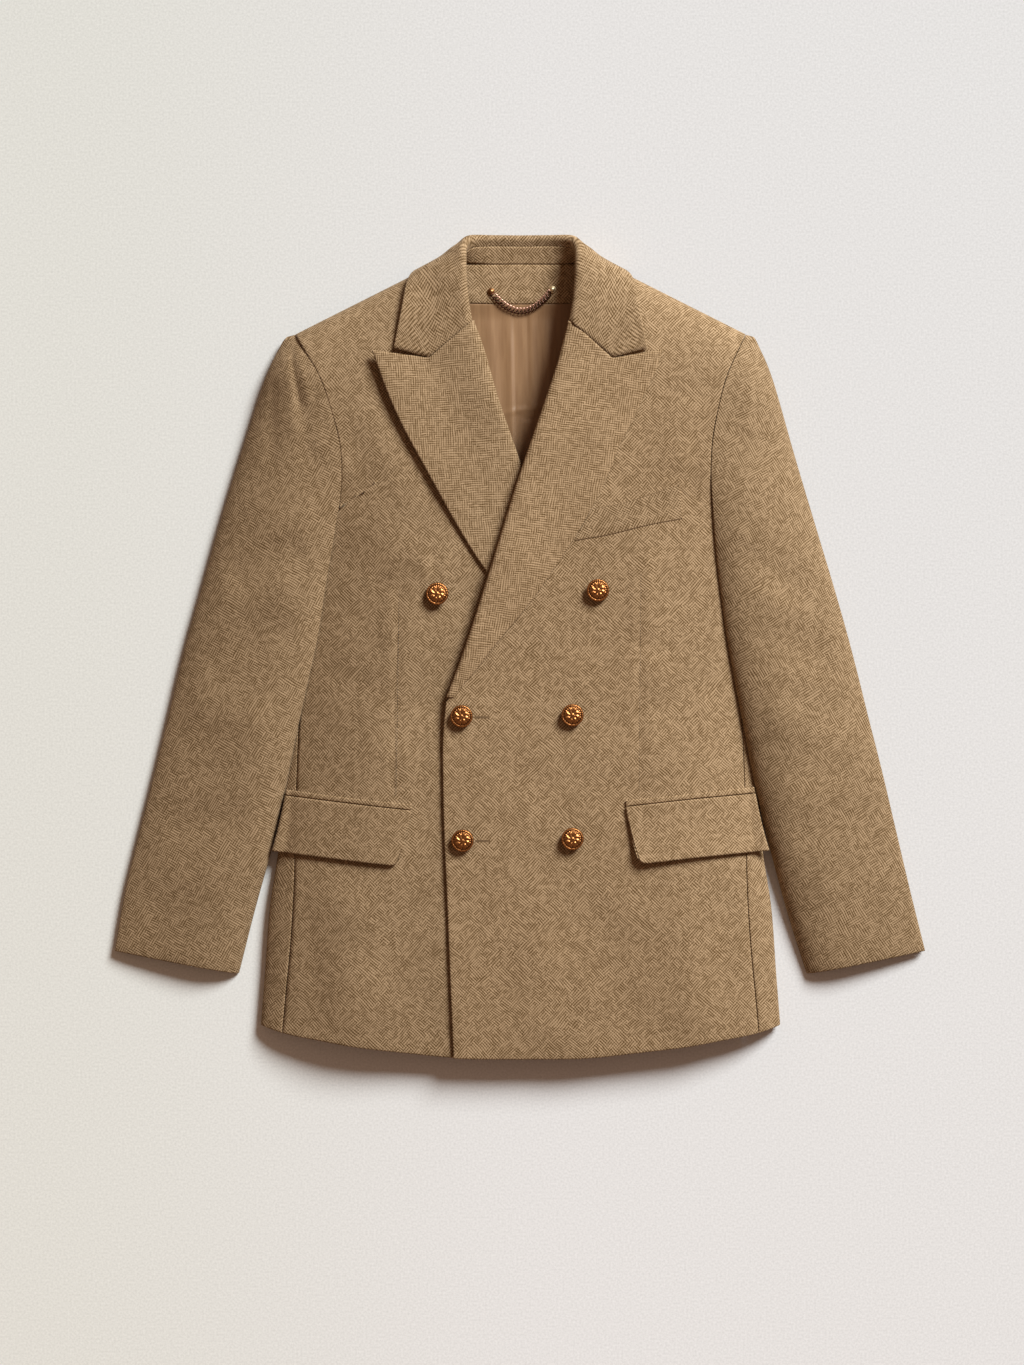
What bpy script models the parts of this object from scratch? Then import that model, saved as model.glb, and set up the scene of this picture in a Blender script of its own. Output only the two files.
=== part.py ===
"""Double breasted blazer with peak lapels, lying on its back on a flat surface.

Sizes are in millimetres and become metres when a mesh is made. +Z is up from the surface,
+Y is towards the collar and +X is the wearer's left. The body and each sleeve are hollow:
an upper sheet of cloth over a lower one. A piece of cloth is a grid of points on the middle
of its wall, and Solidify gives the wall its thickness.
"""
import math

import bpy
import numpy as np

MM = 0.001
LEFT = 1
RIGHT = -1

# ---------------------------------------------------------------- cloth and seams
CLOTH = 2.0
LIGHT_CLOTH = 1.2
LINING_CLOTH = 1.0
SEAM_GAP = 0.4
LAYER = 2.6
SLEEVE_LAYER = 3.8
FLOOR_LEVEL = CLOTH / 2
FOLD_LEVEL = 6.5
SHOULDER_BACK_RISE = 3.2


def table(columns, rows):
    """Rows of numbers as named columns."""
    return {name: np.array(values, float) for name, values in zip(columns.split(), zip(*rows))}


# ---------------------------------------------------------------- body
# side: half width at the side fold; crown: height of the upper sheet; reach and power: how
# far in from the side fold the upper sheet is still rising, and how squarely
BODY = table("y side crown reach power", [
    (-376, 239, 24, 84, 1.7),
    (-300, 233, 26, 88, 1.65),
    (-235, 228, 27, 92, 1.6),
    (-190, 221, 28, 94, 1.55),
    (-150, 217, 28, 94, 1.5),
    (-105, 214, 28, 94, 1.4),
    (-50, 212, 28, 94, 1.35),
    (5, 213, 29, 96, 1.35),
    (50, 217, 30, 100, 1.3),
    (90, 222, 31, 108, 1.3),
    (125, 240, 31, 112, 1.3),
    (200, 300, 31.5, 116, 1.3),
    (260, 300, 30.5, 116, 1.3),
    (300, 300, 29, 116, 1.3),
    (356, 300, 27, 116, 1.3),
])
HEM = table("out y", [
    (0, -376), (61, -375), (111, -369.7), (156, -364), (178, -360), (220, -352), (239, -346),
])
SIDE_SEAM = table("y out", [
    (-352, 217), (-319, 214), (-272, 209.5), (-224, 206.5), (-150, 205), (-50, 201),
    (40, 194), (114, 183),
])
BACK_SEAM_HEM = (150, -372)
# the armhole seam of each side, from the underarm up to the shoulder
ARMHOLE = table("y right left", [
    (124, 165.5, 174.5), (152, 162.5, 172.5), (188, 165, 174), (215, 172.5, 179),
    (246, 183.5, 187.5), (265, 194.5, 196), (284, 205.5, 205.5),
])
ARMHOLE_ROWS = np.array([124, 152, 180, 206, 228, 246, 261, 272, 280, 284.0])
UNDERARM = (222, 90)
SHOULDER_NECK = (98, 338.5)
SHOULDER_SLOPE = -0.5
SHOULDER_REACH = 55

# ---------------------------------------------------------------- fronts, seen from above
# The front's edge runs up from the hem to the break, and on as the roll line to the gorge
EDGE = table("y out", [
    (-375, 61), (-291, 64.5), (-226, 67), (-168, 69.5), (-123, 70.5), (-86, 70.5), (-53.5, 68),
])
ROLL_OVER = table("y x", [
    (-49, -67), (-13, -53.5), (65, -28), (159, 1.4), (207, 18), (262, 36), (293, 44),
])
ROLL_UNDER = table("y x", [
    (-49, 64), (-13, 52), (65, 28), (159, 1.4), (225, -21.5), (280, -38), (293, -43),
])
NECKLINE = table("y out", [(293, 46.8), (305, 54.5), (320, 61.5), (338, 67), (352.5, 70)])
# the outer edge of each lapel, from the break to the peak
LAPEL_OVER = table("y x", [
    (-49, -63.5), (-26, -43.5), (4, -20), (38, 8), (75, 34), (152, 78), (178, 88),
    (203, 101), (229, 113), (250, 123), (269, 129),
])
LAPEL_UNDER = table("y x", [
    (-49, 60.5), (-26, 42), (4, 19), (38, -9), (67, -31), (156, -84), (211, -113), (268, -135),
])
BREAK_Y = -49
GORGE_Y = 293
GORGE_CORNER = (83, 260)
ROLL_RADIUS = 2.6
ROLL_STRIP = 13
SINK_WIDTH = 72
GORGE_GAP = 1.0
LAPEL_TIP = {LEFT: 6, RIGHT: 9}

# ---------------------------------------------------------------- sleeves
# the outer silhouette and the inner fold of each sleeve
SLEEVE_OUTER = table("y right left", [
    (-279, 371, 370), (-223, 361, 356), (-168, 347.5, 343), (-113, 333.5, 330),
    (-58, 320, 316), (-4, 307, 302.5), (51, 291.5, 287), (106, 276, 270.5),
    (161, 259.5, 254), (216, 242, 238), (243, 233, 230), (258, 227, 224.5),
    (270, 221, 219), (277, 217.5, 216), (282.5, 213, 213),
])
SLEEVE_INNER = table("y right left", [
    (-300, 259, 263), (-247, 245.5, 246), (-215, 237, 238), (-173, 225, 225),
    (-110, 211.5, 211.5), (-50, 198.5, 199.5), (5, 186, 189), (51, 178.5, 182.5),
    (97, 170.5, 177), (120, 166.5, 175),
])
# a row for each section; bend: how far the lower sheet's section dips at the underarm
SLEEVE = table("inner_y outer_y crown over_arm bend", [
    (284, 282.5, 9, 0, 0),
    (280, 278, 14, 0.2, 0),
    (272, 270, 19, 0.3, 0),
    (261, 259, 24, 0.3, -1),
    (246, 243, 28, 0.3, -3),
    (228, 223, 31, 0.3, -6),
    (206, 199, 32.5, 0.3, -11),
    (180, 172, 33.5, 0.5, -18),
    (152, 145, 34, 2.5, -26),
    (124, 118, 34.5, 6.5, -31.5),
    (119, 111, 34.5, 0, -30),
    (100, 92, 34.5, 0, -24),
    (76, 70, 34, 0, -16),
    (45, 44, 33.5, 0, -8),
    (8, 14, 32, 0, -3),
    (-35, -22, 30, 0, 0),
    (-82, -65, 28.5, 0, 0),
    (-135, -115, 26.5, 0, 0),
    (-190, -170, 24.5, 0, 0),
    (-245, -224, 22, 0, 0),
    (-300, -279, 19.5, 0, 0),
])
CAP_SECTIONS = 10
SLEEVE_REACH = 46
SLEEVE_FALL = {LEFT: 1.5, RIGHT: 2}
SLEEVE_FALL_REACH = {LEFT: 130, RIGHT: 46}
SLEEVE_EDGE_RISE = 2.2
SLEEVE_SEAM_STEP = 2.3
UNDER_COLUMNS = np.array([0, 0.08, 0.2, 0.37, 0.57, 0.68, 0.8, 0.92, 1.0])
SLIT_COLUMNS = 4
SLIT_SHARE = UNDER_COLUMNS[SLIT_COLUMNS]

# ---------------------------------------------------------------- collar
# A row for each section of the right half, from the centre back to the gorge. Each section
# goes from the inner seam over the fold to the outer edge.
COLLAR_GUIDES = ("seam", "nose", "fold", "turn", "leaf", "edge")
COLLAR = table(
    "seam_x seam_y seam_z nose_x nose_y nose_z fold_x fold_y fold_z "
    "turn_x turn_y turn_z leaf_x leaf_y leaf_z edge_x edge_y edge_z", [
        (0, 366, 15, 0, 372.5, 18.5, 0, 376, 14.5,
         0, 371.5, 5, 0, 358, 1.5, 0, 331, 1.2),
        (26, 366, 15.6, 26, 372.5, 19.4, 26, 376, 15.4,
         28, 371.5, 5.6, 30, 358, 1.5, 32, 331, 1.2),
        (43, 364.5, 18.5, 44.5, 371, 23.5, 48, 375.5, 20,
         52, 372, 8.5, 57, 360, 1.7, 62, 332, 1.2),
        (50.5, 358, 22.5, 49.8, 363, 29.5, 54, 369, 27.5,
         62, 367.5, 14, 71, 359.5, 3.2, 84, 343.5, 1.2),
        (52, 349, 24.5, 50, 352, 32, 55, 357, 33,
         67, 359.5, 24, 80, 354.5, 11, 97, 344, 4.5),
        (51.5, 333, 26.5, 49.7, 334, 34, 54.5, 336, 36.5,
         68, 340, 33, 85, 340, 26, 103, 332.5, 21.5),
        (49.5, 314, 28.5, 48, 314, 35, 52.5, 315, 37.5,
         65, 315, 36, 82, 306, 34, 107.5, 308, 32.5),
        (46.5, 295, 30.5, 44.5, 293.6, 34.5, 48, 290.3, 37,
         60, 280.3, 35.8, 83.3, 260.8, 33.9, 115, 269.3, 34),
    ])
# where the stand meets the neckline, for the same sections
STAND = table("x y z", [
    (0, 350, 6.4), (27, 350, 6.4), (45, 350.4, 7.2), (57, 350.5, 9), (64, 346, 13.5),
    (61.5, 333, 20), (56, 316, 24), (51.5, 302, 25.5),
])
COLLAR_SECTIONS = 13
COLLAR_STEPS = 2

# ---------------------------------------------------------------- inside of the neck
FACING_EDGE_Y = 313
FACING_HALF = 62
LINING_END_Y = 120
LINING_HALF_TOP = 66
LINING_HALF_END = 58
NECK_SEAM_Y = 349.1

# ---------------------------------------------------------------- pockets
# the jet's and the flap's outlines: along is the share of the way from the front end out
POCKET_RIGHT = table("along jet_top jet_low", [(0, -144, -149), (0.5, -138, -142.5), (1, -131, -136)])
POCKET_LEFT = table("along jet_top jet_low", [(0, -140, -145.5), (0.5, -134.5, -139), (1, -128.6, -134)])
POCKET_FRONT_X = {RIGHT: 99, LEFT: 95.3}
FLAP_DEPTH = {RIGHT: 50.5, LEFT: 52}
FLAP_SLANT = {RIGHT: 12, LEFT: 11}
FLAP_CORNER = 9
FLAP_LIFT = {RIGHT: 1.5, LEFT: 4.0}
SLEEVE_CLEARANCE = 2.2
WELT_TOP = table("x y", [(64, 123.5), (97, 130), (135, 142.5), (144.5, 145)])
WELT_LOW = table("x y", [(49, 95.5), (76, 100), (120, 110.5), (147, 115.5)])

# ---------------------------------------------------------------- buttons, rivets, chain
BUTTON_RADIUS = 10.15
# where each button stands, and how far its foot is over the highest cloth under it
BUTTONS = {
    "button_top_right": (-75.5, 47, -0.35),
    "button_top_left": (70, 50, 0.35),
    "button_middle_right": (-53.5, -64, 0.35),
    "button_middle_left": (47, -63, 0.35),
    "button_low_right": (-52.6, -176.6, 0.35),
    "button_low_left": (47, -175, 0.35),
}
# radius and height over the cloth, as shares of the button's radius
BUTTON_PROFILE = table("radius height", [
    (0.30, 0.0), (0.32, 0.20), (0.86, 0.24), (1.0, 0.33), (0.98, 0.43), (0.86, 0.46),
    (0.80, 0.41), (0.56, 0.56), (0.28, 0.62),
])
BUTTON_SIDES = 16
RIVETS = {"rivet_right": (-27, 324), "rivet_left": (29, 326)}
RIVET_RADIUS = 3.2
CHAIN_DIP = 22
CHAIN_LINKS = 24
CHAIN_WIDTH = 2.9
CHAIN_NECK = 2.1
CHAIN_HEIGHT = 1.5

# Soft folds of the upper sheets: from (x0, y0) to (x1, y1), half width and height
CREASES = table("x0 y0 x1 y1 width height", [
    (-108, 92, -70, 58, 16, 1.6),
    (-150, 20, -118, 60, 15, -1.2),
    (118, 82, 112, 10, 13, 1.3),
    (150, 60, 122, -10, 16, -1.1),
    (-182, -20, -120, -45, 15, -1.2),
    (178, -30, 120, -60, 15, -1.2),
    (-150, -235, -140, -350, 24, 1.6),
    (150, -240, 160, -350, 24, 1.5),
    (20, -230, 10, -360, 30, 1.4),
    (-142, 215, -95, 120, 16, 1.3),
    (150, 220, 140, 160, 18, 1.2),
])
SLEEVE_CREASES = table("side x0 y0 x1 y1 width height", [
    (RIGHT, 217, 262, 203, 190, 8, 1.3),
    (RIGHT, 228, 250, 226, 165, 7, -1.2),
    (RIGHT, 200, 225, 190, 165, 8, -1.0),
    (LEFT, 214, 258, 206, 195, 9, 1.1),
    (RIGHT, 200, 92, 262, 62, 17, -2.2),
    (LEFT, 204, 88, 258, 50, 17, -2.2),
    (RIGHT, 214, 20, 282, -22, 17, -2.0),
    (LEFT, 210, 12, 286, -10, 18, -2.0),
    (RIGHT, 232, -70, 300, -50, 18, 1.5),
    (LEFT, 226, -62, 296, -88, 18, 1.5),
    (RIGHT, 252, -150, 322, -168, 20, -1.6),
    (LEFT, 250, -170, 326, -150, 20, -1.6),
])

# ---------------------------------------------------------------- colours
WOOL = (0.25, 0.17, 0.095)
WOOL_FACING = (0.27, 0.185, 0.105)
SATIN = (0.35, 0.20, 0.10)
COPPER = (0.62, 0.30, 0.12)


# ================================================================ curves and rounding
def curve(rows, column, at, key="y"):
    """Smooth line through a table's rows; its slope at a row comes from the rows beside it."""
    knots = rows[key]
    values = rows[column]
    slopes = np.gradient(values, knots)
    at = np.clip(np.asarray(at, float), knots[0], knots[-1])
    cell = np.clip(np.searchsorted(knots, at, side="right") - 1, 0, len(knots) - 2)
    step = knots[cell + 1] - knots[cell]
    t = (at - knots[cell]) / step
    start = values[cell] * (1 + 2 * t) * (1 - t) ** 2 + slopes[cell] * step * t * (1 - t) ** 2
    end = values[cell + 1] * t * t * (3 - 2 * t) - slopes[cell + 1] * step * t * t * (1 - t)
    return start + end


def ease(t):
    """Smooth step from 0 to 1."""
    t = np.clip(t, 0, 1)
    return t * t * (3 - 2 * t)


def rounding(depth, reach, power):
    """Share of the full height at a depth in from a fold: upright at the fold, then level."""
    share = np.clip(np.asarray(depth) / reach, 0, 1)
    return (1 - (1 - share) ** power) ** (1 / power)


def between(low, high, share):
    return low + (high - low) * share


def shoulder_depth(x, y):
    """Distance in from the shoulder line, square to it."""
    out, top = SHOULDER_NECK
    line_y = top + SHOULDER_SLOPE * (np.abs(x) - out)
    return (line_y - y) / math.hypot(1, SHOULDER_SLOPE)


def soft_folds(folds, x, y):
    """Sum of the folds: each is a bell across its line and fades out past its ends."""
    total = 0.0
    for x0, y0, x1, y1, width, height in zip(
            folds["x0"], folds["y0"], folds["x1"], folds["y1"], folds["width"], folds["height"]):
        length = math.hypot(x1 - x0, y1 - y0)
        along = ((x - x0) * (x1 - x0) + (y - y0) * (y1 - y0)) / length ** 2
        across = ((x - x0) * (y1 - y0) - (y - y0) * (x1 - x0)) / length
        past = np.abs(along - 0.5) - 0.5
        total = total + height * np.exp(-(across / width) ** 2) * (1 - ease(past / 0.3 + 0.5))
    return total


# ================================================================ heights of the sheets
def upper_sheet(x, y):
    """Middle of the body's upper sheet, which rises from the side folds and the shoulders."""
    side = curve(BODY, "side", y)
    crown = curve(BODY, "crown", y)
    reach = curve(BODY, "reach", y)
    power = curve(BODY, "power", y)
    share = rounding(side - np.abs(x), reach, power)
    share = share * rounding(shoulder_depth(x, y), SHOULDER_REACH, 2)
    return FOLD_LEVEL + (crown - FOLD_LEVEL + soft_folds(CREASES, x, y)) * share


def lower_sheet(x, y):
    """Middle of the back, which lies on the surface but rises over the collar's leaf."""
    at_neck = ease((y - 298) / 24) * ease((112 - np.abs(x)) / 14)
    at_shoulder = 1 - rounding(shoulder_depth(x, y), 25, 2)
    return FLOOR_LEVEL + SHOULDER_BACK_RISE * np.maximum(at_neck, at_shoulder)


def front_line(y):
    """x of the overlapping front's edge and roll line."""
    return np.where(y < BREAK_Y, -curve(EDGE, "out", y), curve(ROLL_OVER, "x", y))


def under_front(x, y):
    """The right front sinks where the left one and its lapel lie over it."""
    sink = between(4.0, 8.8, ease((y + 105) / 60)) * (1 - ease((y - 185) / 60))
    return upper_sheet(x, y) - sink * ease((x - front_line(y) + SINK_WIDTH) / SINK_WIDTH)


def front_height(side):
    return upper_sheet if side == LEFT else under_front


def over_body_side(x, y):
    """A sheet that lies on the surface and climbs over the body's side fold."""
    depth = curve(BODY, "side", y) - np.abs(x)
    on_body = upper_sheet(x, y) + SLEEVE_LAYER
    return FLOOR_LEVEL + (on_body - FLOOR_LEVEL) * ease((depth + 25) / 25)


# ================================================================ meshes
def finish(name, colour, roughness, metallic=0.0):
    material = bpy.data.materials.new(name)
    material.use_nodes = True
    shader = material.node_tree.nodes["Principled BSDF"]
    shader.inputs["Base Color"].default_value = (*colour, 1)
    shader.inputs["Roughness"].default_value = roughness
    shader.inputs["Metallic"].default_value = metallic
    material.diffuse_color = (*colour, 1)
    return material


def place(name, vertices, faces, material):
    mesh = bpy.data.meshes.new(name)
    mesh.from_pydata((np.asarray(vertices, float) * MM).tolist(), [], faces)
    mesh.materials.append(material)
    mesh.update()
    piece = bpy.data.objects.new(name, mesh)
    bpy.context.scene.collection.objects.link(piece)
    return piece


def cloth(name, points, colour, thickness=CLOTH, keep=None):
    """A piece of cloth from a grid of points (rows, columns, xyz) on the middle of its wall."""
    rows, columns = points.shape[:2]
    index = np.arange(rows * columns).reshape(rows, columns)
    quads = np.stack([index[:-1, :-1], index[:-1, 1:], index[1:, 1:], index[1:, :-1]], axis=-1)
    quads = quads.reshape(-1, 4) if keep is None else quads[keep]
    piece = place(name, points.reshape(-1, 3), quads.tolist(), finish(name, colour, 0.9))
    wall = piece.modifiers.new("wall", "SOLIDIFY")
    wall.thickness = thickness * MM
    wall.offset = 0
    piece.data.shade_smooth()
    return piece


def grid(x, y, z):
    return np.stack(np.broadcast_arrays(x, y, z), axis=-1).astype(float)


def turned(name, profile, scale, sides, foot, colour):
    """A solid turned round +Z from radius and height pairs, closed by a middle point."""
    angles = np.arange(sides) * math.tau / sides
    rings = len(profile["radius"])
    radius = profile["radius"][:, None] * scale
    height = np.repeat(profile["height"][:, None], sides, axis=1) * scale
    points = grid(radius * np.cos(angles), radius * np.sin(angles), height).reshape(-1, 3)
    top = points[-1, 2] + 0.03 * scale
    points = np.vstack([points, (0, 0, points[0, 2]), (0, 0, top)]) + np.array(foot)
    faces = []
    for ring in range(rings - 1):
        for k in range(sides):
            after = (k + 1) % sides
            low = ring * sides
            faces.append((low + k, low + after, low + sides + after, low + sides + k))
    bottom_middle = rings * sides
    last = (rings - 1) * sides
    for k in range(sides):
        after = (k + 1) % sides
        faces.append((bottom_middle, after, k))
        faces.append((bottom_middle + 1, last + k, last + after))
    piece = place(name, points, faces, finish(name, colour, 0.35, 1.0))
    piece.data.shade_smooth()
    return piece


# ================================================================ body
def armhole(side, y):
    return curve(ARMHOLE, "left" if side == LEFT else "right", y)


def back_seam(side, y):
    """The straight seam between back and side panel, up to the armhole."""
    hem_out, hem_y = BACK_SEAM_HEM
    share = (y - hem_y) / (ARMHOLE_ROWS[0] - hem_y)
    return between(hem_out, armhole(side, ARMHOLE_ROWS[0]), share)


def underarm_y(side, out):
    """The armhole's lowest stretch, which runs out to the side fold."""
    seam_out = armhole(side, ARMHOLE_ROWS[0])
    share = (np.abs(out) - seam_out) / (UNDERARM[0] - seam_out)
    return between(ARMHOLE_ROWS[0], UNDERARM[1], share)


def front_outer_rows(side):
    """Outer boundary of a front: the side seam from the hem up, then the armhole."""
    seam_top = 183 if side == RIGHT else 186
    seam_end = underarm_y(side, seam_top)
    seam_y = np.linspace(-351.5, seam_end, 14)
    seam_out = curve(SIDE_SEAM, "out", seam_y) + (seam_top - 183) * ease((seam_y + 50) / 150)
    hole_out = armhole(side, ARMHOLE_ROWS)
    out = np.concatenate([seam_out, hole_out]) - SEAM_GAP / 2
    return out, np.concatenate([seam_y, ARMHOLE_ROWS])


def front_inner_rows(side, count):
    """Inner boundary of a front: the edge from the hem to the break, the roll, the neckline."""
    below = np.linspace(-375.2, -51, 8)
    share = np.linspace(0, 1, count - len(below))
    above = between(-48, 352.3, share + 0.35 * (share - share ** 2))
    roll = ROLL_OVER if side == LEFT else ROLL_UNDER
    out_of_roll = curve(roll, "x", above) * side + ROLL_RADIUS + 0.9
    neck = curve(NECKLINE, "out", above)
    upper = np.where(above < GORGE_Y, out_of_roll, neck)
    lower = -curve(EDGE, "out", below) + (0 if side == LEFT else 3)
    return np.concatenate([lower, upper]), np.concatenate([below, above])


def make_front(name, side):
    """Straight rows from the outer to the inner boundary; the lowest follow the hem."""
    outer, outer_y = front_outer_rows(side)
    inner, inner_y = front_inner_rows(side, len(outer))
    across = np.linspace(0, 1, 12)[None, :] ** 1.25
    out = between(outer[:, None], inner[:, None], across)
    y = between(outer_y[:, None], inner_y[:, None], across)
    climb = np.linspace(0, 1, len(outer))[:, None]
    y = y + (curve(HEM, "y", np.abs(out), "out") - y[0]) * (1 - climb) ** 4 * (y[0] < 0)
    x = out * side
    return cloth(name, grid(x, y, front_height(side)(x, y)), WOOL)


def make_back(name, side):
    """From the centre back seam out to the side seam and the armhole."""
    seam_y = np.linspace(BACK_SEAM_HEM[1], 100, 7)
    outer = np.concatenate([back_seam(side, seam_y), armhole(side, ARMHOLE_ROWS)])
    outer = outer - SEAM_GAP / 2
    outer_y = np.concatenate([seam_y, ARMHOLE_ROWS])
    inner_y = np.concatenate([np.linspace(-373, 120, len(seam_y)),
                              np.linspace(145, NECK_SEAM_Y, len(ARMHOLE_ROWS))])
    share = np.array([0, 0.22, 0.36, 0.55, 0.78, 1.0])[None, :]
    out = between(SEAM_GAP / 2, outer[:, None], share)
    y = between(inner_y[:, None], outer_y[:, None], share)
    climb = np.linspace(0, 1, len(outer))[:, None]
    shoulder_y = SHOULDER_NECK[1] + SHOULDER_SLOPE * (out - SHOULDER_NECK[0])
    neck_y = between(NECK_SEAM_Y, 352.3, ease((out - 30) / 40))
    top_y = np.where(out < 71, neck_y, shoulder_y)
    y = y + (top_y - y[-1:]) * climb ** 6
    y = y + (curve(HEM, "y", out, "out") + 3 - y[:1]) * (1 - climb) ** 4
    x = out * side
    return cloth(name, grid(x, y, lower_sheet(x, y)), WOOL)


def make_side(name, side):
    """The side panel: from the back seam out, round the side fold and back to the front seam."""
    turn = np.concatenate([-np.linspace(1, 0, 6), np.linspace(0, 1, 6)[1:]])[None, :]
    rows = 15
    climb = np.linspace(0, 1, rows)[:, None]
    seam_top = 183 if side == RIGHT else 186
    y = between(-350, 100, climb) + 0 * turn
    out = np.zeros_like(y)
    for _ in range(12):
        fold = curve(BODY, "side", y)
        front_seam = curve(SIDE_SEAM, "out", y) + (seam_top - 183) * ease((y + 50) / 150)
        to_back = fold - back_seam(side, y) - SEAM_GAP
        width = np.where(turn < 0, to_back, fold - front_seam - SEAM_GAP / 2)
        out = fold - width * np.abs(turn) ** 1.8
        top = np.minimum(underarm_y(side, out), ARMHOLE_ROWS[0] - SEAM_GAP)
        hem = curve(HEM, "y", np.minimum(out, 239), "out") + 3 * ease(-turn)
        y = between(hem, top, climb)
    depth = curve(BODY, "side", y) - out
    low = between(FLOOR_LEVEL, FOLD_LEVEL, 1 - rounding(depth, 13, 2))
    x = out * side
    z = np.where(turn < 0, low, upper_sheet(x, y))
    return cloth(name, grid(x, y, z), WOOL)


# ================================================================ sleeves
def sleeve_lines(side):
    """Inner and outer ends of the sleeve's sections, seen from above."""
    column = "left" if side == LEFT else "right"
    inner_y = SLEEVE["inner_y"]
    cap = np.arange(len(inner_y)) < CAP_SECTIONS
    inner = np.where(cap, armhole(side, inner_y) + SEAM_GAP / 2,
                     curve(SLEEVE_INNER, column, inner_y))
    outer = curve(SLEEVE_OUTER, column, SLEEVE["outer_y"])
    return inner[:, None], outer[:, None], cap[:, None]


def under_sleeve_height(side, out, y, depth_in, depth_out, cap, south):
    """The lower sheet lies on the surface, or on the body's side, and lifts at its folds."""
    x = out * side
    rise = SLEEVE_EDGE_RISE * (1 - np.clip(depth_out / 12, 0, 1)) ** 2
    inner_rise = SLEEVE_EDGE_RISE * (1 - np.clip(depth_in / 12, 0, 1)) ** 2
    rise = np.maximum(rise, np.where(cap, 0, inner_rise))
    near_shoulder = SHOULDER_BACK_RISE * (1 - rounding(shoulder_depth(x, y), 25, 2))
    base = np.where(south, over_body_side(x, y), FLOOR_LEVEL)
    return base + np.maximum(rise, np.where(cap, near_shoulder, 0))


def make_under_sleeve(name, side):
    """The lower sheet, slit along the underarm where the body's side passes through it."""
    inner, outer, cap = sleeve_lines(side)
    share = UNDER_COLUMNS[None, :]
    out = between(inner, outer, share)
    dip = np.minimum(share / SLIT_SHARE, (1 - share) / (1 - SLIT_SHARE))
    y = between(SLEEVE["inner_y"][:, None], SLEEVE["outer_y"][:, None], share)
    y = y + SLEEVE["bend"][:, None] * dip
    y[CAP_SECTIONS - 1] = y[CAP_SECTIONS - 1] + 0.9
    width = outer - inner
    z = under_sleeve_height(side, out, y, share * width, (1 - share) * width, cap, ~cap)
    keep = np.ones((out.shape[0] - 1, out.shape[1] - 1), bool)
    keep[CAP_SECTIONS - 1, :SLIT_COLUMNS] = False
    return cloth(name, grid(out * side, y, z), WOOL, keep=keep)


def top_sleeve_height(side, inner, outer, cap, share):
    """Height of the upper sheet at shares of the way from the inner to the outer line."""
    width = outer - inner
    inner_y = SLEEVE["inner_y"][:, None]
    outer_y = SLEEVE["outer_y"][:, None]
    low_in = under_sleeve_height(side, inner, inner_y, 0 * inner, width, cap, ~cap)
    low_out = under_sleeve_height(side, outer, outer_y, width, 0 * outer, cap, ~cap)
    on_arm = upper_sheet(inner * side, inner_y) + SLEEVE["over_arm"][:, None]
    start = np.where(cap, on_arm, low_in + SLEEVE_SEAM_STEP)
    end = low_out + SLEEVE_SEAM_STEP
    rising = rounding(share * width, SLEEVE_REACH, np.where(cap, 1.15, 2))
    level = start + (SLEEVE["crown"][:, None] - start) * rising
    fall_reach = np.clip(width, SLEEVE_REACH, SLEEVE_FALL_REACH[side])
    fall_power = between(2, SLEEVE_FALL[side], ease((width - SLEEVE_REACH) / 30))
    return end + (level - end) * rounding((1 - share) * width, fall_reach, fall_power)


def make_top_sleeve(name, side):
    inner, outer, cap = sleeve_lines(side)
    share = (0.5 - 0.5 * np.cos(np.linspace(0, 1, 13) * math.pi))[None, :]
    out = between(inner, outer, share)
    y = between(SLEEVE["inner_y"][:, None], SLEEVE["outer_y"][:, None], share)
    z = top_sleeve_height(side, inner, outer, cap, share)
    here = SLEEVE_CREASES["side"] == side
    folds = {name: column[here] for name, column in SLEEVE_CREASES.items()}
    inside = np.clip(np.minimum(share, 1 - share) * (outer - inner) / 25, 0, 1)
    z = z + soft_folds(folds, out, y) * inside
    return cloth(name, grid(out * side, y, z), WOOL)


# ================================================================ lapels and collar
def lapel_columns():
    """Depth in from the roll line, and height over the front, across a lapel's rolled edge."""
    angle = np.radians([-62, -30, 0, 30, 62])
    depth = ROLL_RADIUS * (1 - np.cos(angle))
    height = ROLL_RADIUS * np.sin(angle)
    depth = np.concatenate([[ROLL_STRIP, ROLL_RADIUS + 1.5], depth])
    return depth, np.concatenate([[-ROLL_RADIUS, -ROLL_RADIUS], height])


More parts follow.
